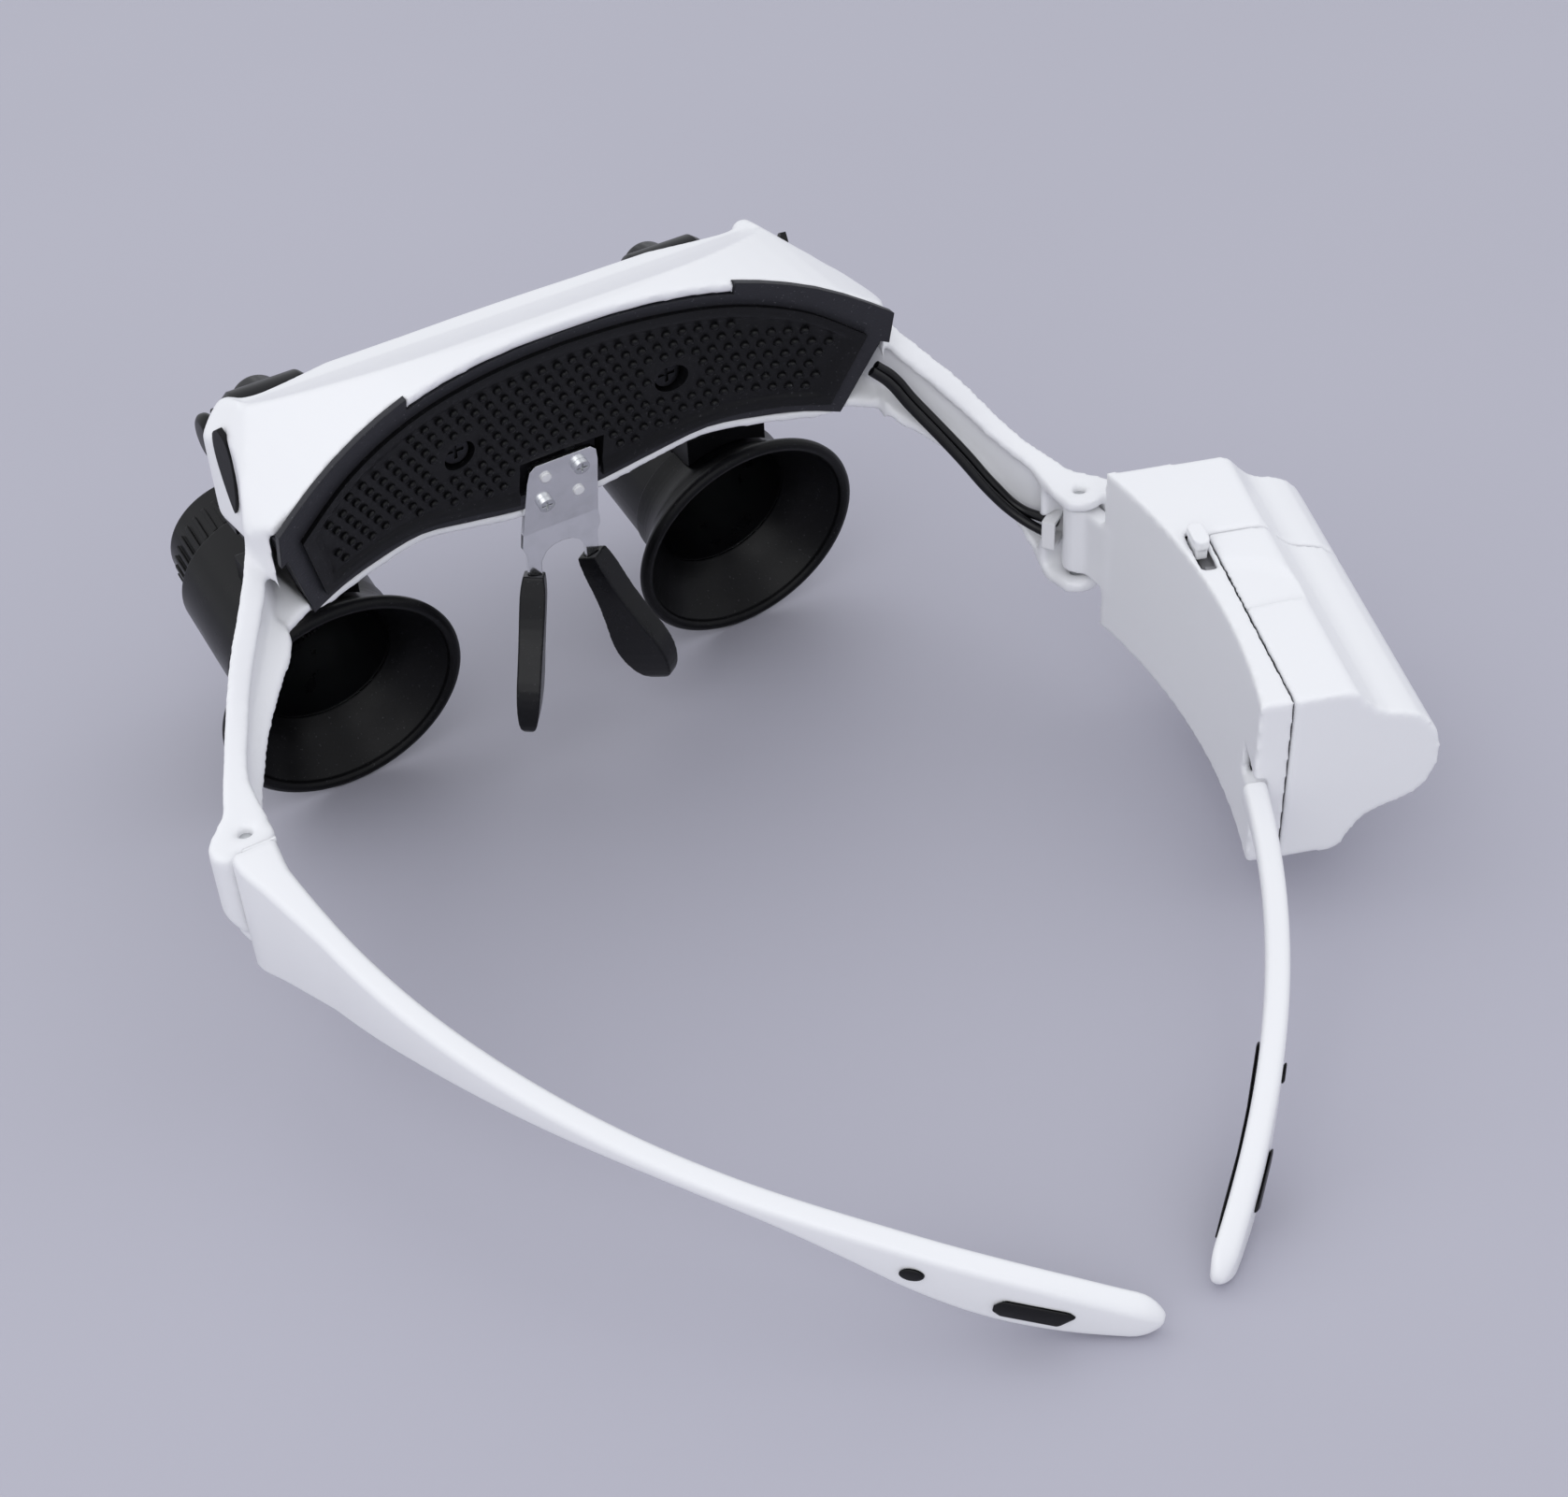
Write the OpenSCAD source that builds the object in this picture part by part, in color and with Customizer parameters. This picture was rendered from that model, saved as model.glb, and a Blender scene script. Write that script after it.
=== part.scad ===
// Lighted headband magnifier of the spectacle kind: a white brow frame with folding temples,
// two sliding loupes, two tilting lamps and a battery box on the right temple.
// Millimetres. +X is the wearer's left, +Y the back of the head, +Z up.
// The worn frame is drawn level and then tilted to the way it stands on a table.

/* [Stance] */
// tilt of the worn frame when it stands on its eye cups and temple tips, in degrees
stand_tilt = 7.72; // [0:0.1:15]
// height of the worn frame's zero plane over the table at the hinge line
stand_height = 31.11; // [20:0.1:45]

/* [Brow frame] */
// wall thickness of the white shell
shell_wall = 2; // [1.2:0.1:3]
// half of the distance between the two temple hinge pins
hinge_x = 71; // [60:0.5:80]
// height of the top hinge tab's upper face
tab_top = 8.2; // [5:0.1:12]
// height of the bottom hinge tab's lower face
tab_bottom = -10; // [-16:0.1:-8]
// thickness of a hinge tab
tab_thickness = 2.6; // [1.5:0.1:4]
// radius of the round hinge tab
tab_r = 4; // [3:0.1:5]

/* [Temple] */
// radius of the temple's inward curve, seen from above
temple_r = 155.6; // [120:0.1:200]
// temple thickness near the tip
temple_thin = 3.2; // [2:0.1:5]
// extra thickness at the root
temple_root_extra = 1.8; // [0:0.1:4]
// radius of the hinge knuckle on the temple
knuckle_r = 2.5; // [2:0.1:3]
// radius of the hinge pin
hinge_pin_r = 1.05; // [0.7:0.05:1.5]
// radial clearance of the pin in the knuckle
pin_fit = 0.05; // [0.02:0.01:0.1]
// gap left between pieces that move against each other
run_gap = 0.3; // [0.2:0.05:0.6]
// extra inward set of the right temple behind the battery box, in degrees
right_set = 1; // [0:0.1:4]

/* [Forehead pad] */
// radius of the forehead curve
head_r = 115; // [90:1:140]
// backward lean of the pad from its foot to its top, in degrees
pad_lean = 15; // [0:1:25]
// thickness of the soft pad over its carrier
pad_thickness = 2.4; // [1.5:0.1:5]
// depth of the hard carrier behind the pad
carrier_depth = 5; // [3:0.1:8]
// depth of the carrier's rim where it meets the shell
rim_depth = 1.2; // [0.8:0.1:2.5]
// radius of one nub
nub_r = 0.75; // [0.4:0.05:1.2]
// height of one nub over the pad
nub_height = 0.8; // [0.3:0.1:1.5]
// spacing of the nubs along a row
nub_pitch = 4.6; // [3:0.1:8]
// spacing of the nub rows
nub_row = 3.3; // [2:0.1:6]
// half spacing of the pad screws
pad_screw_x = 18.1; // [10:0.1:30]
// height of the pad screws
pad_screw_z = 30.2; // [20:0.1:40]
// radius of a pad screw's head
pad_screw_r = 2.2; // [1.5:0.1:3]

/* [Nose rest] */
// thickness of the steel nose plate
plate_thickness = 0.8; // [0.5:0.1:1.5]
// half spacing of the nose plate screws and studs
plate_hole_x = 3; // [2:0.1:5]
// upper and lower height of the nose plate screws
plate_hole_z = [18, 12.3]; // [0:0.1:30]
// top end of a nose pad, at the wearer's left
nose_top = [5.4, -42.9, -3.4]; // [-60:0.1:60]
// bottom end of a nose pad, at the wearer's left
nose_tip = [12.4, -36.4, -27.2]; // [-60:0.1:60]

/* [Loupes] */
// half of the distance between the two loupe axes as shown
loupe_x = 38; // [28:0.1:39]
// rim centre of an eye cup behind the hinge line, and its height
cup_centre = [-50.4, -18.1]; // [-60:0.1:0]
// rise of the loupe axis towards the front, in degrees
loupe_tilt = 10; // [-10:0.5:20]
// radius of the eye cup over its rim
cup_r = 20.9; // [16:0.1:25]
// depth of the flared eye cup
cup_depth = 13; // [8:0.5:20]
// wall of the rubber eye cup
cup_wall = 1.5; // [1:0.1:3]
// outer radius of the loupe tube
tube_r = 14.2; // [12:0.1:18]
// wall of the loupe tube
tube_wall = 1.8; // [1:0.1:3]
// distance from the cup rim to the front of the tube
tube_front = 33; // [25:0.5:40]
// distance from the cup rim to the front of the lens barrel
barrel_front = 43; // [35:0.5:50]
// outer radius of the knurled lens barrel
barrel_r = 11.8; // [9:0.1:14]
// number of grip ribs round the lens barrel
barrel_ribs = 36; // [12:1:60]
// thickness of each lens
lens_thickness = 3; // [1.5:0.1:6]

/* [Slide rail] */
// height and depth of the rail bar
rail_section = [6, 3.4]; // [2:0.1:10]
// height of the rail's middle
rail_z = 14.4; // [10:0.1:20]
// width of a loupe carriage on the rail
carriage_width = 12; // [8:0.5:18]
// half length of the rail bar
rail_half = 46.5; // [35:0.5:50]

/* [Lamps] */
// pivot line of the lamps: distance in front of the hinge line, and height
lamp_axis = [-67, 26.2]; // [-80:0.1:50]
// radius of the lamp housing
lamp_r = 5.6; // [4:0.1:6]
// inner and outer end of the lamp housing
lamp_span = [28, 42.2]; // [20:0.1:50]
// radius of the lamp's turning knob
lamp_knob_r = 3.8; // [3:0.1:6]

/* [Battery box] */
// inward heading of the box, in degrees
box_heading = 20.7; // [0:0.1:30]
// place where the cover meets the fixed front block
cover_start = 18.5; // [10:0.5:25]
// wall of the box
box_wall = 1.5; // [1:0.1:2.5]
// room at the ends of the cells for springs, contacts and walls
cell_room = 14.5; // [14:0.1:18]
// gap round the battery cover
cover_gap = 0.2; // [0.1:0.05:0.4]
// radius of an AAA cell
cell_r = 5.25; // [5:0.05:5.5]
// length of an AAA cell without its button
cell_length = 43.7; // [42:0.1:44.5]
// height of the cell button
cell_button = 0.8; // [0.5:0.1:1.5]
// travel of the switch
switch_travel = 3; // [2:0.1:6]

/* [Hidden] */
fine = 96;
pad_face = [-36.4, 30.2];
rail_front = -66.6;
fascia_y = -61.1;
screw_seat = 37.5;
knuckle_top = tab_top - tab_thickness - run_gap;
knuckle_bottom = tab_bottom + tab_thickness + run_gap;
tube_bore = tube_r - tube_wall;
box_origin = [-70.7, 6.9];
cell_places = [[13.9, 5.6], [13.9, -5.6], [25.2, 0.8]];
cell_start = 7;
box_inner_r = 116;
box_length = cell_length + cell_button + cell_room;

function bend(a, b, c, d, t) =
    0.5 * ((2 * b) + (c - a) * t + (2 * a - 5 * b + 4 * c - d) * t * t
    + (3 * b - a - 3 * c + d) * t * t * t);
function curve(p, n) = [
    for (i = [0:len(p) - 2], k = [0:n - 1])
        bend(p[max(i - 1, 0)], p[i], p[i + 1], p[min(i + 2, len(p) - 1)], k / n),
    p[len(p) - 1]
];
function both(p) = concat(p, [for (i = [len(p) - 1:-1:0]) if (p[i][0] > 0.001) [-p[i][0], p[i][1]]]);

// outline of the frame from above, left half, out to the hinge and back inside
arm_outer = curve([[53.4, -31.6], [56.8, -27], [60, -23.4], [63.1, -20], [66.3, -15.7], [68.7, -12],
    [70.7, -8], [72.4, -4.4]], 3);
arm_inner = curve([[67, -1.5], [66.9, -5.5], [66.2, -8.9], [64.5, -12.2], [62, -15.4], [59.7, -17.6],
    [57.2, -19.9], [54.8, -21.9], [52.2, -24], [50.6, -25.4]], 3);
plan_outer = concat([[0, -59.6], [24, -59.4], [28.2, -59.2], [40.4, -55.6], [42.2, -56.6], [43.4, -58.4]],
    curve([[44.6, -58.8], [47.4, -58], [49.5, -56.4], [49.8, -54.8], [48.9, -51.8], [48.3, -48.6],
    [48.8, -45], [50, -40.5], [51.6, -36], [53.4, -31.6]], 3), arm_outer,
    [[74.3, -2.6], [76.2, -0.8], [77, 1.2], [76.7, 3.2], [75.4, 4.3], [74, 4.3], [73.8, 2.8],
    [71.5, 2.4], [67.2, 2]], arm_inner, [[0, -21]]);
plan_inner = concat([[0, -57.4], [26, -57], [39.6, -53.2], [42.4, -54.4], [44.6, -56.4], [46.9, -55.8],
    [47.6, -54.6]], curve([[46.8, -51.6], [46.2, -48.4], [46.8, -44.4], [48, -39.8], [49.6, -35.2],
    [51.5, -30.6], [55.2, -25.6], [58.4, -22.2], [61.5, -18.8], [64.6, -14.6], [66.9, -10.9],
    [68.8, -7], [70.4, -3.6]], 3),
    [[73.9, -1.8], [73.9, 8], [50, 8], [0, 8]]);

// outline of the brow from the front, left half
brow_top = curve([[0, 48.6], [14, 48.3], [27, 46.8], [40, 42.6], [51, 36.3], [53.6, 33.8]], 3);
brow_foot = curve([[50, 20.5], [45, 15], [35, 15], [25, 15.2], [16.5, 12.3], [8, 9.7], [0, 8.6]], 3);
brow_front = concat(brow_top, [[53.6, 24]], brow_foot);
brow_front_in = concat([for (p = brow_top) [p[0], p[1] - shell_wall]],
    [[51.4, 33.6], [51.4, 26]], [for (p = brow_foot) [p[0], p[1] + shell_wall]]);

// outline of the brow and of an arm from the side
brow_side = [[-62, 37], [-59, 37.4], [-54, 38.7], [-48, 41.5], [-42, 44.6], [-36.5, 47.5], [-31, 49.2],
    [-20, 52], [-20, 5], [-62, 5]];
arm_limit = [[44, 40.2], [47, 38.4], [51, 35.7], [54, 33.2], [58, 30.4], [80, 30], [80, 2], [77.4, -2.6],
    [75.4, -6], [73, -8.8], [71, -10.4], [71, -30], [44, -30]];
brow_side_in = [[-62, 35], [-53, 36.6], [-47.4, 39.3], [-41, 42.6], [-31, 47], [-15, 52.4], [-15, 5],
    [-62, 5]];
arm_top = curve([[-59.5, 37.3], [-56, 38.8], [-50, 41.2], [-43, 42.4], [-33, 33.4], [-29.3, 30.2],
    [-24, 25.2], [-20, 20.4], [-16, 15.4], [-12, 12.3], [-8, 10.4], [-4, 9], [0, tab_top],
    [5, tab_top]], 3);
arm_foot = curve([[5, tab_bottom], [0, tab_bottom], [-3.4, -10], [-6.8, -6.6], [-10.8, -1.8],
    [-13.3, 1.4], [-18, 7.8], [-22, 11.8], [-27, 14.6], [-34, 18.4], [-44, 25], [-59.5, 30]], 3);
arm_side = concat(arm_top, arm_foot);
arm_side_in = concat([for (p = arm_top) [p[0], p[1] - shell_wall - 0.2]], [[8, tab_top - tab_thickness],
    [8, tab_bottom + tab_thickness]], [for (p = arm_foot) [p[0], p[1] + shell_wall + 0.2]]);

// outline of the forehead pad's carrier and of the soft pad from the front, left half
pad_foot = curve([[45.8, 15.6], [40, 16.8], [33, 17.2], [25, 17.1], [16.5, 14.3], [8, 11.8], [0, 10.6]], 3);
carrier_low = concat(curve([[0, 46.4], [14, 46.1], [26.9, 44.6], [40, 40.4], [51, 34.1]], 3), pad_foot);
carrier_rim = [[27.1, 41], [27.1, 54], [51.2, 54], [51.2, 30], [40, 34]];
pad_outline = concat(curve([[0, 43.4], [14, 43], [27, 41.4], [38, 37.6], [46.4, 32.4]], 3),
    curve([[42.6, 19.4], [36, 20.4], [26, 20.2], [16, 17.4], [8, 14.9], [0, 13.9]], 3));

// side outline of the temple, from the hinge to the tip
temple_top = curve([[4.4, 9.4], [10, 9], [18, 7.6], [26, 6], [40, 4], [55, 2.4], [70, 0.9], [84, -0.4],
    [97, -1.8], [107, -4], [114, -6.3], [119, -9.2], [123, -13.4]], 3);
temple_foot = curve([[124, -14.8], [121.5, -14.8], [116, -14.6], [110, -13.4], [104, -10.8], [97, -6.9],
    [90, -4.2], [82, -2.8], [73, -2.3], [60, -2.7], [45, -4], [30, -6.3], [20, -8], [10, -10.3],
    [4.4, -12.4]], 3);

// the thicker root of the left temple from above
temple_root = [[68.1, 4.5], [69.2, 14], [70.2, 24], [70.4, 24], [70.1 + temple_root_extra * 0.7, 18.6],
    [70.6 + temple_root_extra, 12.6], [71.5 + temple_root_extra, 8], [71.7 + temple_root_extra, 5.2],
    [71.3 + temple_root_extra, 4.7]];

module worn() {
    translate([0, 0, stand_height])
        rotate([-stand_tilt, 0, 0])
            children();
}

module plan(p) {
    translate([0, 0, -40])
        linear_extrude(110)
            polygon(p);
}

module front_view(p, y0 = -80, y1 = 30) {
    translate([0, y1, 0])
        rotate([90, 0, 0])
            linear_extrude(y1 - y0)
                polygon(p);
}

module side_view(p, x0 = -90, x1 = 90) {
    translate([x0, 0, 0])
        rotate([90, 0, 90])
            linear_extrude(x1 - x0)
                polygon(p);
}

module head(r, x = 60) {
    intersection() {
        translate([0, pad_face[0], pad_face[1]])
            rotate([-pad_lean, 0, 0])
                translate([0, head_r, 0])
                    cylinder(r = r, h = 160, center = true, $fn = 240);
        translate([-x, -90, -20])
            cube([2 * x, 100, 90]);
    }
}

// a band between two depths behind the forehead face
module head_band(near, far) {
    difference() {
        head(head_r + far);
        head(head_r + near, 70);
    }
}

module pad_holes(r, y0, y1) {
    for (s = [-1, 1])
        translate([s * pad_screw_x, y1, pad_screw_z])
            rotate([90, 0, 0])
                cylinder(r = r, h = y1 - y0, $fn = 32);
}

// placed in the plane of the nose plate
module on_plate() {
    translate([0, pad_face[0] + 0.5, pad_face[1]])
        rotate([-pad_lean, 0, 0])
            children();
}

module plate_points(list) {
    for (p = list)
        translate([p[0], 0, (p[1] - pad_face[1]) / cos(pad_lean)])
            rotate([90, 0, 0])
                children();
}

module hinge_at(s) {
    translate([s * hinge_x, 0, 0])
        children();
}

module on_loupe(s) {
    translate([s * loupe_x, cup_centre[0], cup_centre[1]])
        rotate([-90 - loupe_tilt, 0, 0])
            children();
}

module in_box() {
    translate([box_origin[0], box_origin[1], 0])
        rotate([0, 0, -box_heading])
            mirror([1, 0, 0])
                children();
}

module front_frame() {
    color("#f3f3f5")
    worn()
    difference() {
        union() {
            difference() {
                intersection() {
                    plan(both(plan_outer));
                    front_view(both(brow_front));
                    side_view(brow_side);
                }
                head(head_r, 60);
            }
            intersection() {
                plan(both(plan_outer));
                side_view(arm_side);
                for (s = [0, 1])
                    mirror([s, 0, 0])
                        front_view(arm_limit);
            }
            for (s = [-1, 1])
                hinge_at(s)
                    translate([0, 0, tab_bottom])
                        cylinder(r = tab_r, h = tab_top - tab_bottom, $fn = 48);
        }
        intersection() {
            plan(both(plan_inner));
            front_view(both(brow_front_in));
            side_view(brow_side_in);
        }
        intersection() {
            plan(both(plan_inner));
            side_view(arm_side_in);
            difference() {
                for (x = [46, -86])
                    translate([x, -42, -30])
                        cube([40, 60, 90]);
                translate([-90, -3.4 - shell_wall, -30])
                    cube([180, shell_wall - 0.4, 60]);
            }
        }
        clip_block(0.05);
        clip_bore(-4, 1);
        head(head_r, 51.3);
        intersection() {
            head(head_r + carrier_depth + 0.1, 51.2);
            front_view(both(carrier_low));
        }
        intersection() {
            head(head_r + rim_depth + 0.1, 51.2);
            rim_area();
        }
        for (s = [-1, 1])
            hinge_at(s)
                translate([0, 0, tab_bottom - 1])
                    cylinder(r = hinge_pin_r + 0.02, h = tab_top - tab_bottom + 2, $fn = 32);
        for (s = [0, 1])
            mirror([s, 0, 0]) {
                corner_drop(0.9, 0);
                translate([46.1, -58, 37.5])
                    rotate([0, 43.4, -9.1])
                        translate([-15, -20, 0])
                            cube([40, 40, 20]);
            }
    }
}

// teardrop on the front corner, as a pocket or, made smaller by a share, as the insert in it
module corner_drop(depth, less) {
    translate([48.75, -50.6, 0])
        rotate([0, 0, 12.6])
            translate([-depth, 0, 0])
                rotate([90, 0, 90])
                    linear_extrude(less > 0 ? depth + 0.1 : depth + 1)
                        polygon([for (p = curve([[0, 38], [1.7, 36.2], [2.2, 32.6], [1.6, 27.6],
                            [0.4, 23.2], [-0.4, 23.2], [-1.6, 28.2], [-2.2, 33], [-1.7, 36.6], [0, 38]], 3))
                            [p[0] * (1 - less), 30.6 + (p[1] - 30.6) * (1 - less / 3)]]);
}

module corner_inserts() {
    color("#17171a")
    worn()
    for (s = [0, 1])
        mirror([s, 0, 0])
            corner_drop(0.85, 0.05);
}

module rim_area() {
    for (s = [0, 1])
        mirror([s, 0, 0])
            front_view(carrier_rim);
}

module pad_carrier() {
    color("#2a2b30")
    worn()
    difference() {
        union() {
            intersection() {
                head_band(0, carrier_depth);
                front_view(both(carrier_low));
            }
            intersection() {
                head_band(0, rim_depth);
                front_view(both(brow_front));
                side_view(brow_side);
                rim_area();
            }
        }
        intersection() {
            head_band(-1, pad_thickness);
            front_view(both(pad_outline));
        }
        pad_holes(1.3, -60, -20);
        pad_holes(pad_screw_r + 0.1, -screw_seat - 0.05, -20);
        on_plate()
            plate_points([for (s = [-1, 1], z = plate_hole_z) [s * plate_hole_x, z]])
                translate([0, 0, -2])
                    cylinder(r = 0.95, h = 12, $fn = 24);
    }
}

module forehead_pad() {
    color("#1b1b1e")
    worn()
    difference() {
        union() {
            intersection() {
                head_band(-0.4, pad_thickness);
                front_view(both([for (p = pad_outline) [p[0] - (p[0] > 0.01 ? 0.05 : 0), p[1]]]));
            }
            intersection() {
                head_band(-0.4 - nub_height, 1);
                rotate([90, 0, 0])
                    linear_extrude(70)
                        nub_field();
            }
        }
        pad_holes(pad_screw_r + 0.4, -60, -20);
        on_plate()
            translate([-7.2, -4, -40])
                cube([14.4, 8, 31.6]);
    }
}

module nub_field() {
    for (r = [0:7], c = [-10:10]) {
        x = (c + (r % 2) / 2) * nub_pitch;
        z = 17.4 + r * nub_row - 0.0022 * x * x + (abs(x) < 8 ? 2 : 0);
        top = 41.8 - 0.0045 * x * x;
        foot = abs(x) < 30 ? 22 - (30 - abs(x)) * 0.17 : 22;
        if (abs(x) < 43.5 && z < top - 0.6 && z > foot && !(abs(x) < 8 && z < 25)
            && norm([abs(x) - pad_screw_x, z - pad_screw_z]) > 3.6)
            translate([x, z])
                circle(r = nub_r, $fn = 16);
    }
}

module pad_screws() {
    color("#3a3a3f")
    worn()
    for (s = [-1, 1])
        translate([s * pad_screw_x, 0, pad_screw_z])
            rotate([90, 0, 0]) {
                translate([0, 0, screw_seat - 1.4])
                    difference() {
                        cylinder(r = pad_screw_r, h = 1.4, $fn = 32);
                        translate([-1.4, -0.25, -0.5])
                            cube([2.8, 0.5, 1]);
                        translate([-0.25, -1.4, -0.5])
                            cube([0.5, 2.8, 1]);
                    }
                translate([0, 0, screw_seat - 0.1])
                    cylinder(r = 1.25, h = 5.4, $fn = 24);
            }
}

module nose_plate() {
    color("#d5d7da")
    worn()
    on_plate()
    difference() {
        union() {
            translate([0, 0.5, 0])
                rotate([90, 0, 0])
                    linear_extrude(plate_thickness)
                        polygon(both([[0, -9.5], [4.8, -9.5], [5.8, -10.5], [6.2, -13],
                            [6.7, -25], [0, -25]]));
            translate([0, 0.5, -25])
                rotate([12, 0, 0])
                    rotate([90, 0, 0])
                        linear_extrude(plate_thickness)
                            polygon(both([[0, 0.1], [6.7, 0.1], [7, -2.6], [6.3, -4.2], [6.2, -12.6],
                                [4.2, -12.6], [4, -6.4], [3, -4.6], [1.6, -3.8], [0, -3.6]]));
        }
        plate_points([for (s = [-1, 1], z = plate_hole_z) [s * plate_hole_x, z]])
            translate([0, 0, -2])
                cylinder(r = 0.92, h = 4, $fn = 24);
    }
}

module nose_screws() {
    color("#b9bcc0")
    worn()
    on_plate()
    plate_points([[-plate_hole_x, plate_hole_z[0]], [plate_hole_x, plate_hole_z[1]]])
        difference() {
            union() {
                translate([0, 0, -1.4])
                    cylinder(r = 1.35, h = 0.9, $fn = 32);
                translate([0, 0, -0.5])
                    cylinder(r = 0.9, h = 4.4, $fn = 24);
            }
            translate([-0.9, -0.16, -1.6])
                cube([1.8, 0.32, 0.7]);
            translate([-0.16, -0.9, -1.6])
                cube([0.32, 1.8, 0.7]);
        }
}

module nose_studs() {
    color("#f1f1f2")
    worn()
    on_plate()
    plate_points([[plate_hole_x, plate_hole_z[0]], [-plate_hole_x, plate_hole_z[1]]])
        translate([0, 0, -0.9])
            cylinder(r = 0.9, h = 3, $fn = 24);
}

module nose_pad() {
    d = nose_tip - nose_top;
    tilt = asin(d[1] / norm(d));
    lean = -asin(d[0] / norm(d) / cos(tilt));
    translate(nose_top)
        rotate([tilt, lean, 0])
            rotate([0, 0, -33])
                difference() {
                    intersection() {
                        side_view(both_ways(curve([[2, 0.6], [2.3, -3], [2.7, -8], [3.7, -13], [4.8, -18],
                            [4.5, -22], [2.9, -25.2], [0, -26.4]], 3)), -5, 5);
                        front_view(both_ways(curve([[1.7, 0.6], [2.1, -3], [2, -12], [1.9, -20],
                            [1.3, -25], [0, -26.4]], 3)), -6, 6);
                    }
                    rotate([0, 0, 33])
                        rotate([0, -lean, 0])
                            rotate([-tilt, 0, 0])
                                translate(-nose_top)
                                    nose_socket();
                }
}

// room for the end of a nose plate leg
module nose_socket() {
    on_plate()
        translate([0, 0.5, -25])
            rotate([12, 0, 0])
                translate([4.1, -plate_thickness - 0.08, -12.7])
                    cube([2.2, plate_thickness + 0.16, 8]);
}

function both_ways(p) = concat(p, [for (i = [len(p) - 2:-1:0]) [-p[i][0], p[i][1]]]);

module nose_pad_left() {
    color("#161618")
    worn()
        nose_pad();
}

module nose_pad_right() {
    color("#161618")
    worn()
        mirror([1, 0, 0])
            nose_pad();
}

module front_fascia() {
    color("#1c1c1f")
    worn()
    difference() {
        union() {
            front_view(both([[0, 33.6], [44, 33.2], [47.6, 31.4], [47.6, 26], [46.2, 20], [46.2, 11.4],
                [44, 10.4], [0, 10.4]]), fascia_y, -54);
            for (s = [-1, 1], x = [lamp_span[0] - 1.9, lamp_span[1] + 0.3])
                translate([s > 0 ? x : -x - 1.6, lamp_axis[0] - 3, lamp_axis[1] - 3])
                    cube([1.6, fascia_y - lamp_axis[0] + 3, 6]);
        }
        plan(both(plan_outer));
        for (s = [-1, 1])
            translate([s * (lamp_span[0] + lamp_span[1]) / 2, lamp_axis[0], lamp_axis[1]])
                rotate([0, 90, 0])
                    cylinder(r = 1.5 + pin_fit, h = lamp_span[1] - lamp_span[0] + 11, center = true,
                        $fn = 32);
    }
}

module slide_rail() {
    color("#202024")
    worn() {
        translate([-rail_half, rail_front, rail_z - rail_section[0] / 2])
            cube([2 * rail_half, rail_section[1], rail_section[0]]);
        for (x = [-rail_half, -3, rail_half - 2])
            translate([x, rail_front + rail_section[1], rail_z - rail_section[0] / 2])
                cube([abs(x) < 5 ? 6 : 2, fascia_y - rail_front - rail_section[1], rail_section[0]]);
    }
}

module carriage() {
    w = carriage_width;
    back = rail_front + rail_section[1] + run_gap;
    low = rail_z - rail_section[0] / 2 - run_gap;
    high = rail_z + rail_section[0] / 2 + run_gap;
    difference() {
        translate([loupe_x - w / 2, 0, 0]) {
            translate([0, rail_front - run_gap - 2.4, low - 1.9])
                cube([w, 2.4, high - low + 3.8]);
            for (z = [low - 1.9, high])
                translate([0, rail_front - run_gap, z])
                    cube([w, fascia_y - rail_front, 1.9]);
            for (z = [low - 1.9, high - 2.1])
                translate([0, back, z])
                    cube([w, fascia_y - back - run_gap, 4]);
            translate([1.5, rail_front - run_gap - 2.4, -4])
                cube([w - 3, 5, low + 3]);
            translate([-1.5, rail_front - run_gap - 2.4, -5])
                cube([w + 3, 14, 6.8]);
        }
        on_loupe(1)
            rotate_extrude($fn = fine)
                polygon([[0, -60], [tube_r, -60], [tube_r, -cup_depth - 0.2],
                    [tube_r + 0.5, -cup_depth - 0.2],
                    [tube_r + 0.85, -9], [tube_r + 2.2, -5.4], [cup_r, -1], [cup_r, 10], [0, 10]]);
        translate([loupe_x - 5.4, -58, -8])
            cylinder(r = 0.85, h = 14, $fn = 24);
    }
}

module carriage_left() {
    color("#1a1a1d")
    worn()
        carriage();
}

module carriage_right() {
    color("#1a1a1d")
    worn()
        mirror([1, 0, 0])
            carriage();
}

module carriage_screws_at(s) {
    translate([s * (loupe_x - 5.4), -58, 0]) {
        translate([0, 0, 1.8])
            cylinder(r = 1.4, h = 0.8, $fn = 32);
        translate([0, 0, -0.4])
            cylinder(r = 0.83, h = 2.2, $fn = 24);
    }
}

module loupe_tube(s) {
    on_loupe(s)
        rotate_extrude($fn = fine)
            polygon([[10.6, -tube_front], [tube_r - 0.6, -tube_front], [tube_r, -tube_front + 0.6],
                [tube_r, -cup_depth], [tube_r - 1, -cup_depth], [tube_r - 1, -cup_depth + 4],
                [tube_r - 1.8, -cup_depth + 4], [tube_bore, -cup_depth], [tube_bore, -tube_front + 3.4],
                [10.6, -tube_front + 3.4]]);
}

module loupe_tube_left() {
    color("#19191c")
    worn()
        loupe_tube(1);
}

module loupe_tube_right() {
    color("#19191c")
    worn()
        loupe_tube(-1);
}

module loupe_screws_left() {
    color("#c9cbce")
    worn()
        carriage_screws_at(1);
}

module loupe_screws_right() {
    color("#c9cbce")
    worn()
        carriage_screws_at(-1);
}

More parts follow.
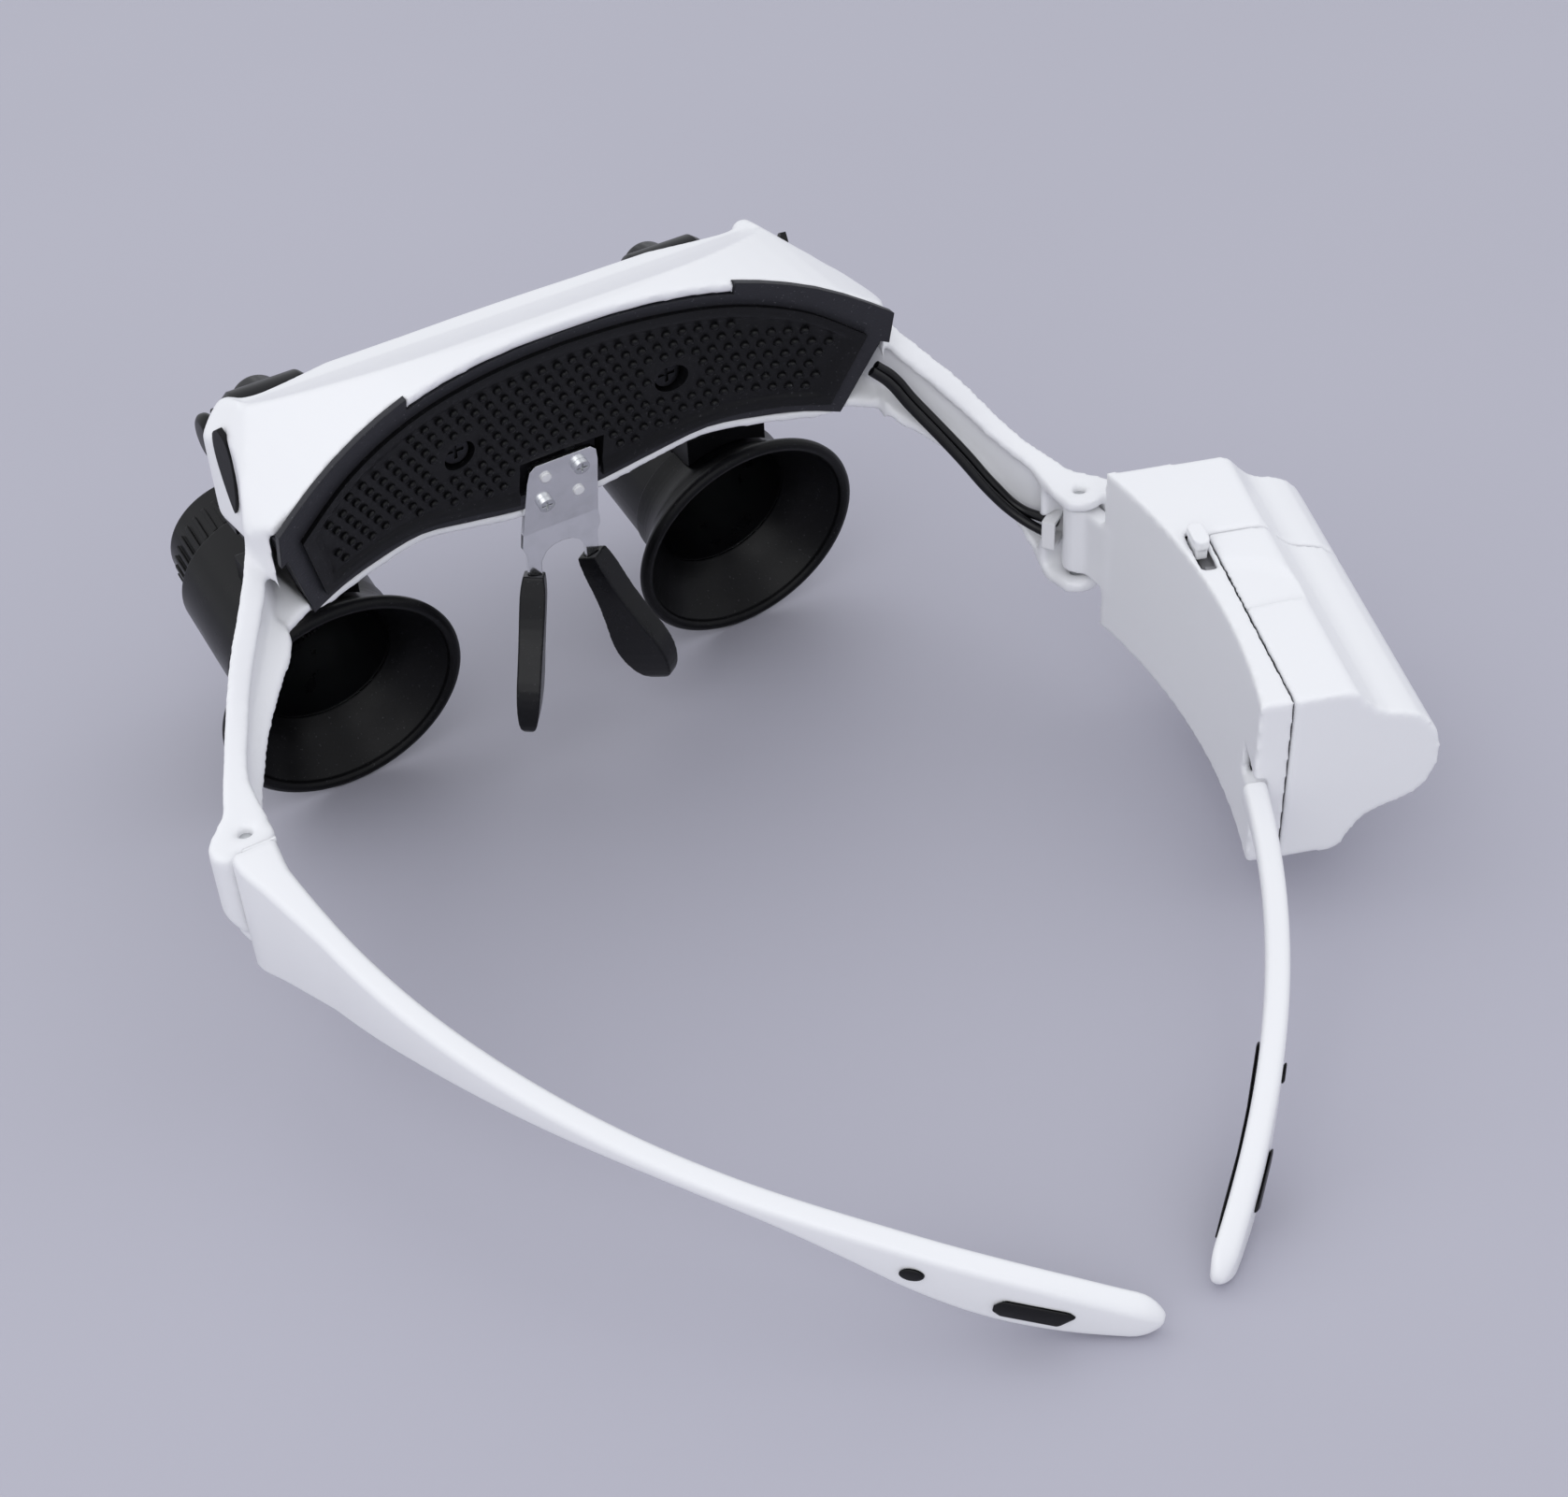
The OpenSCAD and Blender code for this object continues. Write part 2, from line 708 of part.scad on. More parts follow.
module eye_cup(s) {
    outside = curve([[tube_r + 0.3, -cup_depth], [tube_r + 0.6, -9], [tube_r + 1.9, -5.8],
        [cup_r - 2.2, -3], [cup_r - 0.55, -0.95]], 4);
    inside = curve([[cup_r - 0.7 - cup_wall, -0.1], [cup_r - 2.5 - cup_wall, -2.6],
        [tube_r + 1.4 - cup_wall, -6], [tube_r - 0.3 - cup_wall, -8.6]], 4);
    on_loupe(s)
        rotate_extrude($fn = fine)
            polygon(concat(outside, [for (a = [-30:30:150]) [cup_r - 1.1 + 1.1 * cos(a), 1.1 * sin(a)]],
                inside, [[tube_r - 1.8, -8.95], [tube_r - 1, -8.95], [tube_r - 1, -cup_depth]]));
}

module eye_cup_left() {
    color("#121214")
    worn()
        eye_cup(1);
}

module eye_cup_right() {
    color("#121214")
    worn()
        eye_cup(-1);
}

module lens(r, bulge) {
    rotate_extrude($fn = 64)
        polygon([[0, -bulge], [r * 0.35, -bulge * 0.88], [r * 0.7, -bulge * 0.5], [r, 0],
            [r, lens_thickness - 1], [r * 0.7, lens_thickness - 1 + bulge * 0.5],
            [r * 0.35, lens_thickness - 1 + bulge * 0.88], [0, lens_thickness - 1 + bulge]]);
}

module eye_lens_left() {
    color("#cfe2ea")
    worn()
        on_loupe(1)
            translate([0, 0, 6 - tube_front])
                lens(tube_bore, 1);
}

module eye_lens_right() {
    color("#cfe2ea")
    worn()
        on_loupe(-1)
            translate([0, 0, 6 - tube_front])
                lens(tube_bore, 1);
}

module lens_barrel(s) {
    on_loupe(s)
        difference() {
            union() {
                translate([0, 0, -barrel_front])
                    cylinder(r = barrel_r, h = barrel_front - tube_front - run_gap, $fn = fine);
                translate([0, 0, -tube_front - run_gap])
                    cylinder(r = 10.6 - 0.08, h = 4 + run_gap, $fn = fine);
                translate([0, 0, -tube_front - 7])
                    linear_extrude(5.6)
                        for (i = [0:barrel_ribs - 1])
                            rotate(i * 360 / barrel_ribs)
                                translate([barrel_r - 0.3, -0.35])
                                    square([0.8, 0.7]);
            }
            translate([0, 0, -barrel_front - 1])
                cylinder(r = 10, h = 6.2, $fn = fine);
            translate([0, 0, -barrel_front])
                cylinder(r = 8.6, h = 20, $fn = fine);
        }
}

module lens_barrel_left() {
    color("#1d1d20")
    worn()
        lens_barrel(1);
}

module lens_barrel_right() {
    color("#1d1d20")
    worn()
        lens_barrel(-1);
}

module front_lens(s) {
    on_loupe(s)
        translate([0, 0, -barrel_front + 3])
            lens(10, 0.9);
}

module front_lens_left() {
    color("#cfe2ea")
    worn()
        front_lens(1);
}

module front_lens_right() {
    color("#cfe2ea")
    worn()
        front_lens(-1);
}

module lamp() {
    a = lamp_span[0];
    b = lamp_span[1];
    translate([0, lamp_axis[0], lamp_axis[1]])
        difference() {
            union() {
                rotate([90, 0, 90])
                    rotate_extrude($fn = 64)
                        polygon([[0, a - 2.2], [1.5, a - 2.2], [1.5, a],
                            [lamp_r - 1.5, a], [lamp_r, a + 1.5],
                            [lamp_r, b - 1.4], [lamp_r - 1, b], [1.5, b], [1.5, b + 2.3],
                            [lamp_knob_r - 0.6, b + 2.3], [lamp_knob_r, b + 2.9], [lamp_knob_r, b + 4],
                            [lamp_knob_r - 0.8, b + 4.7], [0, b + 4.7]]);
                translate([(a + b) / 2, 0, 0])
                    rotate([90 + 14, 0, 0])
                        cylinder(r1 = 4.2, r2 = 4.6, h = 7.6, $fn = 64);
            }
            translate([(a + b) / 2, 0, 0])
                rotate([90 + 14, 0, 0])
                    translate([0, 0, 4.4])
                        cylinder(r = 3.4, h = 6, $fn = 48);
        }
}

module lamp_lens() {
    translate([(lamp_span[0] + lamp_span[1]) / 2, lamp_axis[0], lamp_axis[1]])
        rotate([90 + 14, 0, 0])
            translate([0, 0, 4.4])
                rotate_extrude($fn = 48)
                    polygon([[0, 0], [3.4, 0], [3.4, 2], [2.9, 3.1], [1.7, 3.9], [0, 4.3]]);
}

module lamp_left() {
    color("#1a1a1c")
    worn()
        lamp();
}

module lamp_right() {
    color("#1a1a1c")
    worn()
        mirror([1, 0, 0])
            lamp();
}

module lamp_lens_left() {
    color("#eef3f5")
    worn()
        lamp_lens();
}

module lamp_lens_right() {
    color("#eef3f5")
    worn()
        mirror([1, 0, 0])
            lamp_lens();
}

module hinge_pins() {
    color("#a9abaf")
    worn()
        for (s = [-1, 1])
            hinge_at(s)
                translate([0, 0, tab_bottom + 0.6])
                    cylinder(r = hinge_pin_r, h = tab_top - tab_bottom - 1.8, $fn = 32);
}

// the temple's bow seen from above, for the wearer's left
module temple_band(out = 0, into = 0) {
    translate([-83.98, -5.21, -30])
        difference() {
            cylinder(r = temple_r + temple_thin / 2 + out, h = 60, $fn = 360);
            translate([-1.2, 0, -1])
                cylinder(r = temple_r - temple_thin / 2 + 0.8 - into, h = 62, $fn = 360);
        }
}

module temple_bow(y0) {
    intersection() {
        temple_band();
        side_view(concat(temple_top, temple_foot), 0, 90);
        translate([0, y0, -30])
            cube([90, 130, 60]);
        translate([8.5, 120.1, -11.4])
            rotate([0, 0, 55.4]) {
                translate([-200, -300, -60])
                    cube([400, 300, 120]);
                rotate([0, 90, 0])
                    cylinder(r = 3.85, h = 20, center = true, $fn = 48);
            }
    }
}

// the right temple behind the box, set a little further inwards than its twin
module right_side() {
    mirror([1, 0, 0])
        translate([58, 57.5, 0])
            rotate([0, 0, right_set])
                translate([-58, -57.5, 0])
                    children();
}

module knuckle(back, inner, outer) {
    difference() {
        translate([0, 0, knuckle_bottom])
            union() {
                cylinder(r = knuckle_r, h = knuckle_top - knuckle_bottom, $fn = 48);
                translate([inner, 0, 0])
                    cube([outer - inner, back, knuckle_top - knuckle_bottom]);
            }
        translate([0, 0, knuckle_bottom - 1])
            cylinder(r = hinge_pin_r + pin_fit, h = 30, $fn = 32);
    }
}

module temple_left() {
    color("#f4f4f6")
    worn() {
        temple_bow(4.5);
        intersection() {
            plan(temple_root);
            side_view(concat(temple_top, temple_foot), 0, 90);
        }
        hinge_at(1)
            knuckle(5.2, -2.3, 1.9);
    }
}

// the right temple, cut flush with the inner wall of the box
module right_bow() {
    difference() {
        right_side()
            temple_bow(57.5);
        in_box()
            intersection() {
                box_hollow(box_inner_r);
                translate([-60, -10, -40])
                    cube([120, box_length + 10, 80]);
            }
    }
}

module temple_right() {
    color("#f4f4f6")
    worn()
        right_bow();
}

module grips() {
    intersection() {
        difference() {
            temple_band(0.45);
            temple_band();
        }
        translate([0, 90, -30])
            cube([60, 60, 60]);
        union() {
            side_view([[111, -9.9], [111.8, -8.9], [116.9, -10], [117.5, -10.9], [116.2, -12.8],
                [111.6, -11.9], [110.9, -11]], 0, 60);
            translate([0, 103.9, -6.6])
                rotate([90, 0, 90])
                    cylinder(r = 1.1, h = 60, $fn = 32);
        }
    }
    intersection() {
        difference() {
            temple_band(0, 0.45);
            temple_band();
        }
        translate([0, 90, -30])
            cube([60, 60, 60]);
        side_view([[98.8, -5], [100.2, -3.6], [108, -5.6], [116, -8.8], [118, -10.8], [117, -13],
            [113, -12.8], [107, -10.6], [101.4, -6.8]], 0, 60);
    }
}

module grips_left() {
    color("#19191b")
    worn()
        grips();
}

module grips_right() {
    color("#19191b")
    worn()
        right_side()
            grips();
}

module box_run(p, v0, v1) {
    translate([0, v1, 0])
        rotate([90, 0, 0])
            linear_extrude(v1 - v0)
                polygon(p);
}

function box_outline(w) = [[-6, 15.5 - w], [18.6 - w * 0.7, 15.5 - w], [19.6 - w, 15 - w * 0.9],
    [21.2 - w * 0.8, 13.2 - w * 0.8], [22.6 - w * 0.5, 11.8 - w * 0.9], [24.4 - w * 0.2, 10.8 - w],
    [26.6, 10.4 - w], [28.8 - w * 0.2, 9.6 - w], [30.8 - w * 0.6, 7.9 - w * 0.8],
    [32.3 - w * 0.9, 5.4 - w * 0.5], [33 - w, 2.2], [32.8 - w, -1 + w * 0.2],
    [31.7 - w * 0.8, -3.9 + w * 0.6], [29.8 - w * 0.4, -5.8 + w * 0.9], [27, -6.9 + w],
    [24.8 - w * 0.2, -7.7 + w], [22.6 - w * 0.6, -8.9 + w * 0.8], [21 - w * 0.8, -11 + w * 0.6],
    [19.7 - w, -13.7 + w * 0.9], [18.6 - w * 0.7, -14.5 + w], [-6, -14.5 + w]];

// what the curved inner wall of the box leaves free for the head
module box_hollow(r) {
    translate([6.9 - box_inner_r, 39.8, -40])
        cylinder(r = r, h = 80, $fn = 360);
}

module box_shell() {
    difference() {
        box_run(box_outline(0), 0, box_length);
        box_hollow(box_inner_r);
        difference() {
            box_run(box_outline(box_wall), box_wall, box_length - box_wall);
            box_hollow(box_inner_r + box_wall);
        }
    }
}

module battery_box() {
    color("#f6f6f8")
    worn() {
        difference() {
            union() {
                in_box() {
                    intersection() {
                        box_shell();
                        union() {
                            translate([-10, -1, -30])
                                cube([60, cover_start + 1, 60]);
                            translate([-10, -1, -30])
                                cube([20.2, box_length + 10, 60]);
                        }
                    }
                    difference() {
                        box_run(box_outline(box_wall + 0.35), box_length - 6, box_length - 4.5);
                        box_hollow(box_inner_r + 0.5);
                    }
                    difference() {
                        box_run(box_outline(box_wall - 0.2), 3, 4.2);
                        box_hollow(box_inner_r + 0.5);
                    }
                    difference() {
                        translate([4.8, box_length - 7, -4.6])
                            cube([4.2, 6.4, 7.8]);
                        box_hollow(box_inner_r + 0.5);
                    }
                }
                hinge_at(-1)
                    mirror([1, 0, 0])
                        knuckle(8.6, -0.6, 2.5);
            }
            right_bow();
            in_box()
                translate([7, 17.4, 13])
                    cube([2.4, 6.6 + switch_travel, 5]);
        }
    }
}

module battery_cover() {
    color("#f7f7f9")
    worn()
    in_box()
    difference() {
        intersection() {
            box_shell();
            translate([10.2 + cover_gap, cover_start + cover_gap, -30])
                cube([40, box_length, 60]);
        }
        translate([0, 0, 14.6])
            linear_extrude(3)
                polygon(concat([[6, 26]], curve([[10.5, 26], [14.6, 26.6], [18, 29], [19.6, 32.6],
                    [19.2, 36.6]], 4), [[6, 37.4]]));
    }
}

module cells() {
    color("#3b4a57")
    worn()
    in_box()
    for (i = [0:2])
        translate([cell_places[i][0], 0, cell_places[i][1]])
            translate([0, i == 1 ? 2 * cell_start + cell_length : 0, 0])
                rotate([i == 1 ? 90 : -90, 0, 0])
                    translate([0, 0, cell_start]) {
                        cylinder(r = cell_r, h = cell_length, $fn = 64);
                        translate([0, 0, cell_length])
                            cylinder(r = 1.9, h = cell_button, $fn = 32);
                    }
}

module cell_contacts() {
    color("#c8b98a")
    worn()
    in_box()
    for (i = [0:2])
        translate([cell_places[i][0], 0, cell_places[i][1]])
            rotate([-90, 0, 0]) {
                translate([0, 0, 4.2])
                    cylinder(r = 3.9, h = 0.5, $fn = 32);
                translate([0, 0, box_length - 6.5])
                    cylinder(r = 3.9, h = 0.5, $fn = 32);
                translate([0, 0, i == 1 ? box_length - 6.55 : 4.75])
                    mirror([0, 0, i == 1 ? 1 : 0])
                        rotate_extrude($fn = 32)
                            polygon([[2.9, -0.1], [3.5, -0.1], [3.2, 0.5], [3.3, 0.8], [2.7, 1.2],
                                [2.8, 1.4],
                                [1.6, 1.5], [1.6, 1.2], [2.2, 1], [2.1, 0.7], [2.7, 0.4]]);
            }
}

module switch_knob() {
    color("#ededf0")
    worn()
    in_box() {
        translate([7.3, 18.4, 13.9])
            cube([1.8, 4.6, 2.2]);
        translate([6.9, 18, 15.8])
            linear_extrude(1.6)
                polygon(concat([for (a = [180:30:360]) [1.3 + 1.3 * cos(a), 1.3 + 1.3 * sin(a)]],
                    [for (a = [0:30:180]) [1.3 + 1.3 * cos(a), 4.1 + 1.3 * sin(a)]]));
    }
}

module switch_body() {
    color("#3c3c40")
    worn()
    in_box()
        difference() {
            translate([8.2, 18.4, 11.1])
                cube([5.6, 7.6, 2.5]);
            translate([8.1, 20, 12.7])
                cube([1.9, 4.4, 1]);
        }
}

module lead() {
    wires = [curve([[-51.4, -24.6, 22.4], [-53.4, -22, 18.6], [-56.2, -18.8, 14.2], [-59, -15.6, 9.6],
        [-62.2, -11.6, 4], [-64.8, -8.4, 0.6], [-67.2, -4.6, -1.2], [-68, -2.6, -1.3]], 2),
        curve([[-52.8, -25.5, 22.6], [-54.8, -22.9, 18.8], [-57.6, -19.7, 14.4], [-60.4, -16.5, 9.9],
        [-63.6, -12.5, 4.3], [-66.1, -9.2, 0.9], [-67.9, -5.7, 0.5], [-69.3, -3.1, 0.4]], 2)];
    color("#101012")
    worn()
    for (path = wires)
        for (i = [0:len(path) - 2]) {
            a = path[i];
            b = path[i + 1];
            d = b - a;
            translate(a) {
                rotate([0, acos(d[2] / norm(d)), atan2(d[1], d[0])])
                    cylinder(r = 0.8, h = norm(d), $fn = 24);
                sphere(r = 0.82, $fn = 24);
            }
        }
}

// block of the lead's clip, and its seat in the frame with a gap round it
module clip_block(gap) {
    translate([-68.7, -3.5, -0.7])
        rotate([0, 0, 33])
            cube([4.8 + 2 * gap, 2.2 + 2 * gap, 5.2 + 2 * gap], center = true);
}

// way of the wires through the clip and the frame's wall before it
module clip_bore(from, to) {
    translate([-68.7, -3.4, -2.5])
        rotate([0, 0, 33])
            translate([-1.95, from, 0])
                cube([3.9, to - from, 3.9]);
}

module lead_clip() {
    color("#ededf0")
    worn()
        difference() {
            clip_block(0);
            clip_bore(-2, 2);
        }
}

front_frame();
pad_carrier();
forehead_pad();
pad_screws();
nose_plate();
nose_screws();
nose_studs();
nose_pad_left();
nose_pad_right();
corner_inserts();
front_fascia();
slide_rail();
carriage_left();
carriage_right();
loupe_screws_left();
loupe_screws_right();
loupe_tube_left();
loupe_tube_right();
eye_cup_left();
eye_cup_right();
eye_lens_left();
eye_lens_right();
lens_barrel_left();
lens_barrel_right();
front_lens_left();
front_lens_right();
lamp_left();
lamp_right();
lamp_lens_left();
lamp_lens_right();
hinge_pins();
temple_left();
temple_right();
grips_left();
grips_right();
battery_box();
battery_cover();
cells();
cell_contacts();
switch_knob();
switch_body();
lead();
lead_clip();
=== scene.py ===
"""Looks of a lighted headband magnifier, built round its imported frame.

Lengths are in metres. +X is the wearer's left, +Y the back of the head and +Z up.
"""

import logging
import math
from dataclasses import dataclass
from enum import Enum
from typing import Callable, Iterable, Sequence

import bmesh
import bpy
from mathutils import Matrix, Vector


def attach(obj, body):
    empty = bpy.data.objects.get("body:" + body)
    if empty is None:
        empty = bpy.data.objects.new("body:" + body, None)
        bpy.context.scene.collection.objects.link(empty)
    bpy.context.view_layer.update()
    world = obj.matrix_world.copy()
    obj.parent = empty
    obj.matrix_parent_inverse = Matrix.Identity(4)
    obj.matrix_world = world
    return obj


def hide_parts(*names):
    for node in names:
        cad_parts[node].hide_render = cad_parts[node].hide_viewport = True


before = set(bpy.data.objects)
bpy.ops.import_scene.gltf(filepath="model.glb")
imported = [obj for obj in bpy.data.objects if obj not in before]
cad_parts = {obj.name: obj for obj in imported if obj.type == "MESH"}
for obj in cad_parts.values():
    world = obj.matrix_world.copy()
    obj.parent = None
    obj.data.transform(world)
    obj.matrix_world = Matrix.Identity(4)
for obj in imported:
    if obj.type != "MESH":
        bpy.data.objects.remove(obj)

logging.basicConfig(level=logging.INFO, format="%(name)s: %(message)s")
LOG = logging.getLogger("magnifier")

MM = 0.001
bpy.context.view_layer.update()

# Reach in metres within which vertices are one, or lie on a cut
NODE_DOUBLES = 2e-5
DRAWN_DOUBLES = 1e-6
CUT_REACH = 1e-7

Colour = tuple[float, float, float]
Point = tuple[float, float, float]
Profile = tuple[tuple[float, float], ...]

# Marks on the surfaces, in features a metre
FLOW_MARKS = 38.0
RUBBED_SPOTS = 160.0
DUST_SPECKS = 2100.0
MOULD_WAVES = 70.0
HANDLING_MARKS = 240.0
ROLLING_LINES = 3800.0
SHEET_WAVES = 90.0
LENS_HAZE = 120.0
TABLE_CLOUDS = 4.0

# Depths of those marks, in metres
MOULD_WAVE_DEPTH = 0.00003
ROLLING_DEPTH = 0.000006
SHEET_WAVE_DEPTH = 0.00006

# Parts of a noise's values over which those marks come up
RUBBED_BAND = (0.52, 0.72)
DUST_BAND = (0.69, 0.78)
HANDLING_BAND = (0.45, 0.75)
HAZE_BAND = (0.5, 0.8)

# Sockets of Blender's mix node for two colours
MIX_FIRST = 6
MIX_SECOND = 7
MIX_RESULT = 2


class Grain(Enum):
    """Surface left by the mould or the mill, as (features a metre, depth in metres)."""

    POLISHED = (900.0, 0.000004)
    SATIN = (2600.0, 0.00001)
    ERODED = (1700.0, 0.00005)
    SKIN = (3200.0, 0.000018)


class Graph:
    """Builds the nodes of one material."""

    def __init__(self, name: str) -> None:
        """Starts a material that holds only its shader and output.

        Args:
            name: name of the material.
        """
        self.material = bpy.data.materials.new(name)
        self.material.use_nodes = True
        self.tree = self.material.node_tree
        self.shader = next(n for n in self.tree.nodes if n.type == "BSDF_PRINCIPLED")
        self.coordinates = self.add("ShaderNodeTexCoord").outputs["Object"]

    def add(self, kind: str, **settings: object) -> bpy.types.Node:
        """Adds a node.

        Args:
            kind: Blender's name of the node type.
            **settings: properties of the node, set by name.

        Returns:
            The new node.
        """
        node = self.tree.nodes.new(kind)
        for key, value in settings.items():
            setattr(node, key, value)
        return node

    def link(self, source: bpy.types.NodeSocket, target: bpy.types.NodeSocket) -> None:
        """Joins two sockets."""
        self.tree.links.new(source, target)

    def fix(self, **values: object) -> None:
        """Sets sockets of the shader by name, with _ for a space."""
        for key, value in values.items():
            self.shader.inputs[key.replace("_", " ")].default_value = value

    def noise(
        self, scale: float, detail: float = 3.0, stretch: Point = (1.0, 1.0, 1.0)
    ) -> bpy.types.NodeSocket:
        """Makes a noise over the piece.

        Args:
            scale: features a metre.
            detail: octaves of the noise.
            stretch: factor along each axis, below 1 for streaks along that axis.

        Returns:
            The noise value, from 0 to 1.
        """
        mapping = self.add("ShaderNodeMapping")
        mapping.inputs["Scale"].default_value = stretch
        self.link(self.coordinates, mapping.inputs["Vector"])
        texture = self.add("ShaderNodeTexNoise")
        texture.inputs["Scale"].default_value = scale
        texture.inputs["Detail"].default_value = detail
        texture.inputs["Roughness"].default_value = 0.55
        self.link(mapping.outputs["Vector"], texture.inputs["Vector"])
        return texture.outputs["Fac"]

    def ranged(
        self,
        source: bpy.types.NodeSocket,
        low: float,
        high: float,
        start: float = 0.3,
        end: float = 0.7,
    ) -> bpy.types.NodeSocket:
        """Maps a value to a range.

        Args:
            source: the value.
            low: result at start.
            high: result at end.
            start: value that gives low.
            end: value that gives high.

        Returns:
            The mapped value, clamped.
        """
        node = self.add("ShaderNodeMapRange")
        limits = {"From Min": start, "From Max": end, "To Min": low, "To Max": high}
        for key, value in limits.items():
            node.inputs[key].default_value = value
        self.link(source, node.inputs["Value"])
        return node.outputs["Result"]

    def mixed(
        self, share: bpy.types.NodeSocket, first: object, second: object
    ) -> bpy.types.NodeSocket:
        """Mixes two colours.

        Args:
            share: share of the second colour.
            first: a colour, or a socket that gives one.
            second: a colour, or a socket that gives one.

        Returns:
            The mixed colour.
        """
        node = self.add("ShaderNodeMix", data_type="RGBA")
        self.link(share, node.inputs["Factor"])
        for key, value in ((MIX_FIRST, first), (MIX_SECOND, second)):
            if isinstance(value, bpy.types.NodeSocket):
                self.link(value, node.inputs[key])
            else:
                node.inputs[key].default_value = (*value, 1.0)
        return node.outputs[MIX_RESULT]

    def bumped(
        self, height: bpy.types.NodeSocket, depth: float, before: bpy.types.NodeSocket | None = None
    ) -> bpy.types.NodeSocket:
        """Turns a height into a normal.

        Args:
            height: the height, from 0 to 1.
            depth: depth in metres of a height of 1.
            before: normal to start from.

        Returns:
            The bent normal.
        """
        node = self.add("ShaderNodeBump")
        node.inputs["Strength"].default_value = 1.0
        node.inputs["Distance"].default_value = depth
        self.link(height, node.inputs["Height"])
        if before is not None:
            self.link(before, node.inputs["Normal"])
        return node.outputs["Normal"]

    def rounded(self, radius: float) -> bpy.types.NodeSocket:
        """Makes the normal of edges rounded to a radius in metres."""
        node = self.add("ShaderNodeBevel", samples=6)
        node.inputs["Radius"].default_value = radius
        return node.outputs["Normal"]


def darker(colour: Colour, share: float) -> Colour:
    """Takes a share off a colour's light."""
    return tuple(c * (1.0 - share) for c in colour)


@dataclass(frozen=True)
class Moulded:
    """A moulded plastic or rubber, with its grain, faint flow marks, rubbed spots and settled dust."""

    name: str
    colour: Colour
    roughness: float
    grain: Grain
    mottle: float = 0.04
    dust: float = 0.0
    coat: float = 0.0
    edge: float = 0.0004
    ior: float = 1.48
    dust_colour: Colour = (0.3, 0.3, 0.32)
    coat_roughness: float = 0.12
    rubbed_to: float = 0.82

    def material(self) -> bpy.types.Material:
        """Builds the material.

        Returns:
            The finished material.
        """
        g = Graph(self.name)
        pitch, depth = self.grain.value
        flow = g.ranged(g.noise(FLOW_MARKS, 2.0, (1.0, 0.35, 1.0)), 0.0, 1.0)
        colour = g.mixed(flow, self.colour, darker(self.colour, self.mottle))
        rubbed = g.ranged(g.noise(RUBBED_SPOTS, 4.0), 0.0, 1.0, *RUBBED_BAND)
        if self.dust:
            specks = g.ranged(g.noise(DUST_SPECKS, 1.0), 0.0, self.dust, *DUST_BAND)
            colour = g.mixed(specks, colour, self.dust_colour)
        g.link(colour, g.shader.inputs["Base Color"])
        shine = g.ranged(rubbed, self.roughness, self.roughness * self.rubbed_to, 0.0, 1.0)
        g.link(shine, g.shader.inputs["Roughness"])
        normal = g.rounded(self.edge) if self.edge else None
        normal = g.bumped(g.noise(pitch, 2.0), depth, normal)
        normal = g.bumped(g.noise(MOULD_WAVES, 1.0), MOULD_WAVE_DEPTH, normal)
        g.link(normal, g.shader.inputs["Normal"])
        g.fix(IOR=self.ior, Coat_Weight=self.coat, Coat_Roughness=self.coat_roughness)
        return g.material


@dataclass(frozen=True)
class Metal:
    """A bare metal with its rolling lines, fine scratches and handling marks."""

    name: str
    colour: Colour
    roughness: float
    lines: Point = (1.0, 1.0, 0.06)
    edge: float = 0.00015
    dulled_by: float = 0.12
    roughened: float = 1.5

    def material(self) -> bpy.types.Material:
        """Builds the material.

        Returns:
            The finished material.
        """
        g = Graph(self.name)
        marks = g.ranged(g.noise(HANDLING_MARKS, 5.0), 0.0, 1.0, *HANDLING_BAND)
        colour = g.mixed(marks, self.colour, darker(self.colour, self.dulled_by))
        g.link(colour, g.shader.inputs["Base Color"])
        shine = g.ranged(marks, self.roughness, self.roughness * self.roughened, 0.0, 1.0)
        g.link(shine, g.shader.inputs["Roughness"])
        normal = g.rounded(self.edge)
        normal = g.bumped(g.noise(ROLLING_LINES, 2.0, self.lines), ROLLING_DEPTH, normal)
        normal = g.bumped(g.noise(SHEET_WAVES, 2.0), SHEET_WAVE_DEPTH, normal)
        g.link(normal, g.shader.inputs["Normal"])
        g.fix(Metallic=1.0)
        return g.material


@dataclass(frozen=True)
class Clear:
    """A clear lens, with the faint haze of handling."""

    name: str
    colour: Colour
    roughness: float = 0.02
    ior: float = 1.49
    dulled_by: float = 0.03
    roughened: float = 3.0

    def material(self) -> bpy.types.Material:
        """Builds the material.

        Returns:
            The finished material.
        """
        g = Graph(self.name)
        haze = g.ranged(g.noise(LENS_HAZE, 4.0), 0.0, 1.0, *HAZE_BAND)
        colour = g.mixed(haze, self.colour, darker(self.colour, self.dulled_by))
        g.link(colour, g.shader.inputs["Base Color"])
        shine = g.ranged(haze, self.roughness, self.roughness * self.roughened, 0.0, 1.0)
        g.link(shine, g.shader.inputs["Roughness"])
        g.fix(Transmission_Weight=1.0, IOR=self.ior)
        return g.material


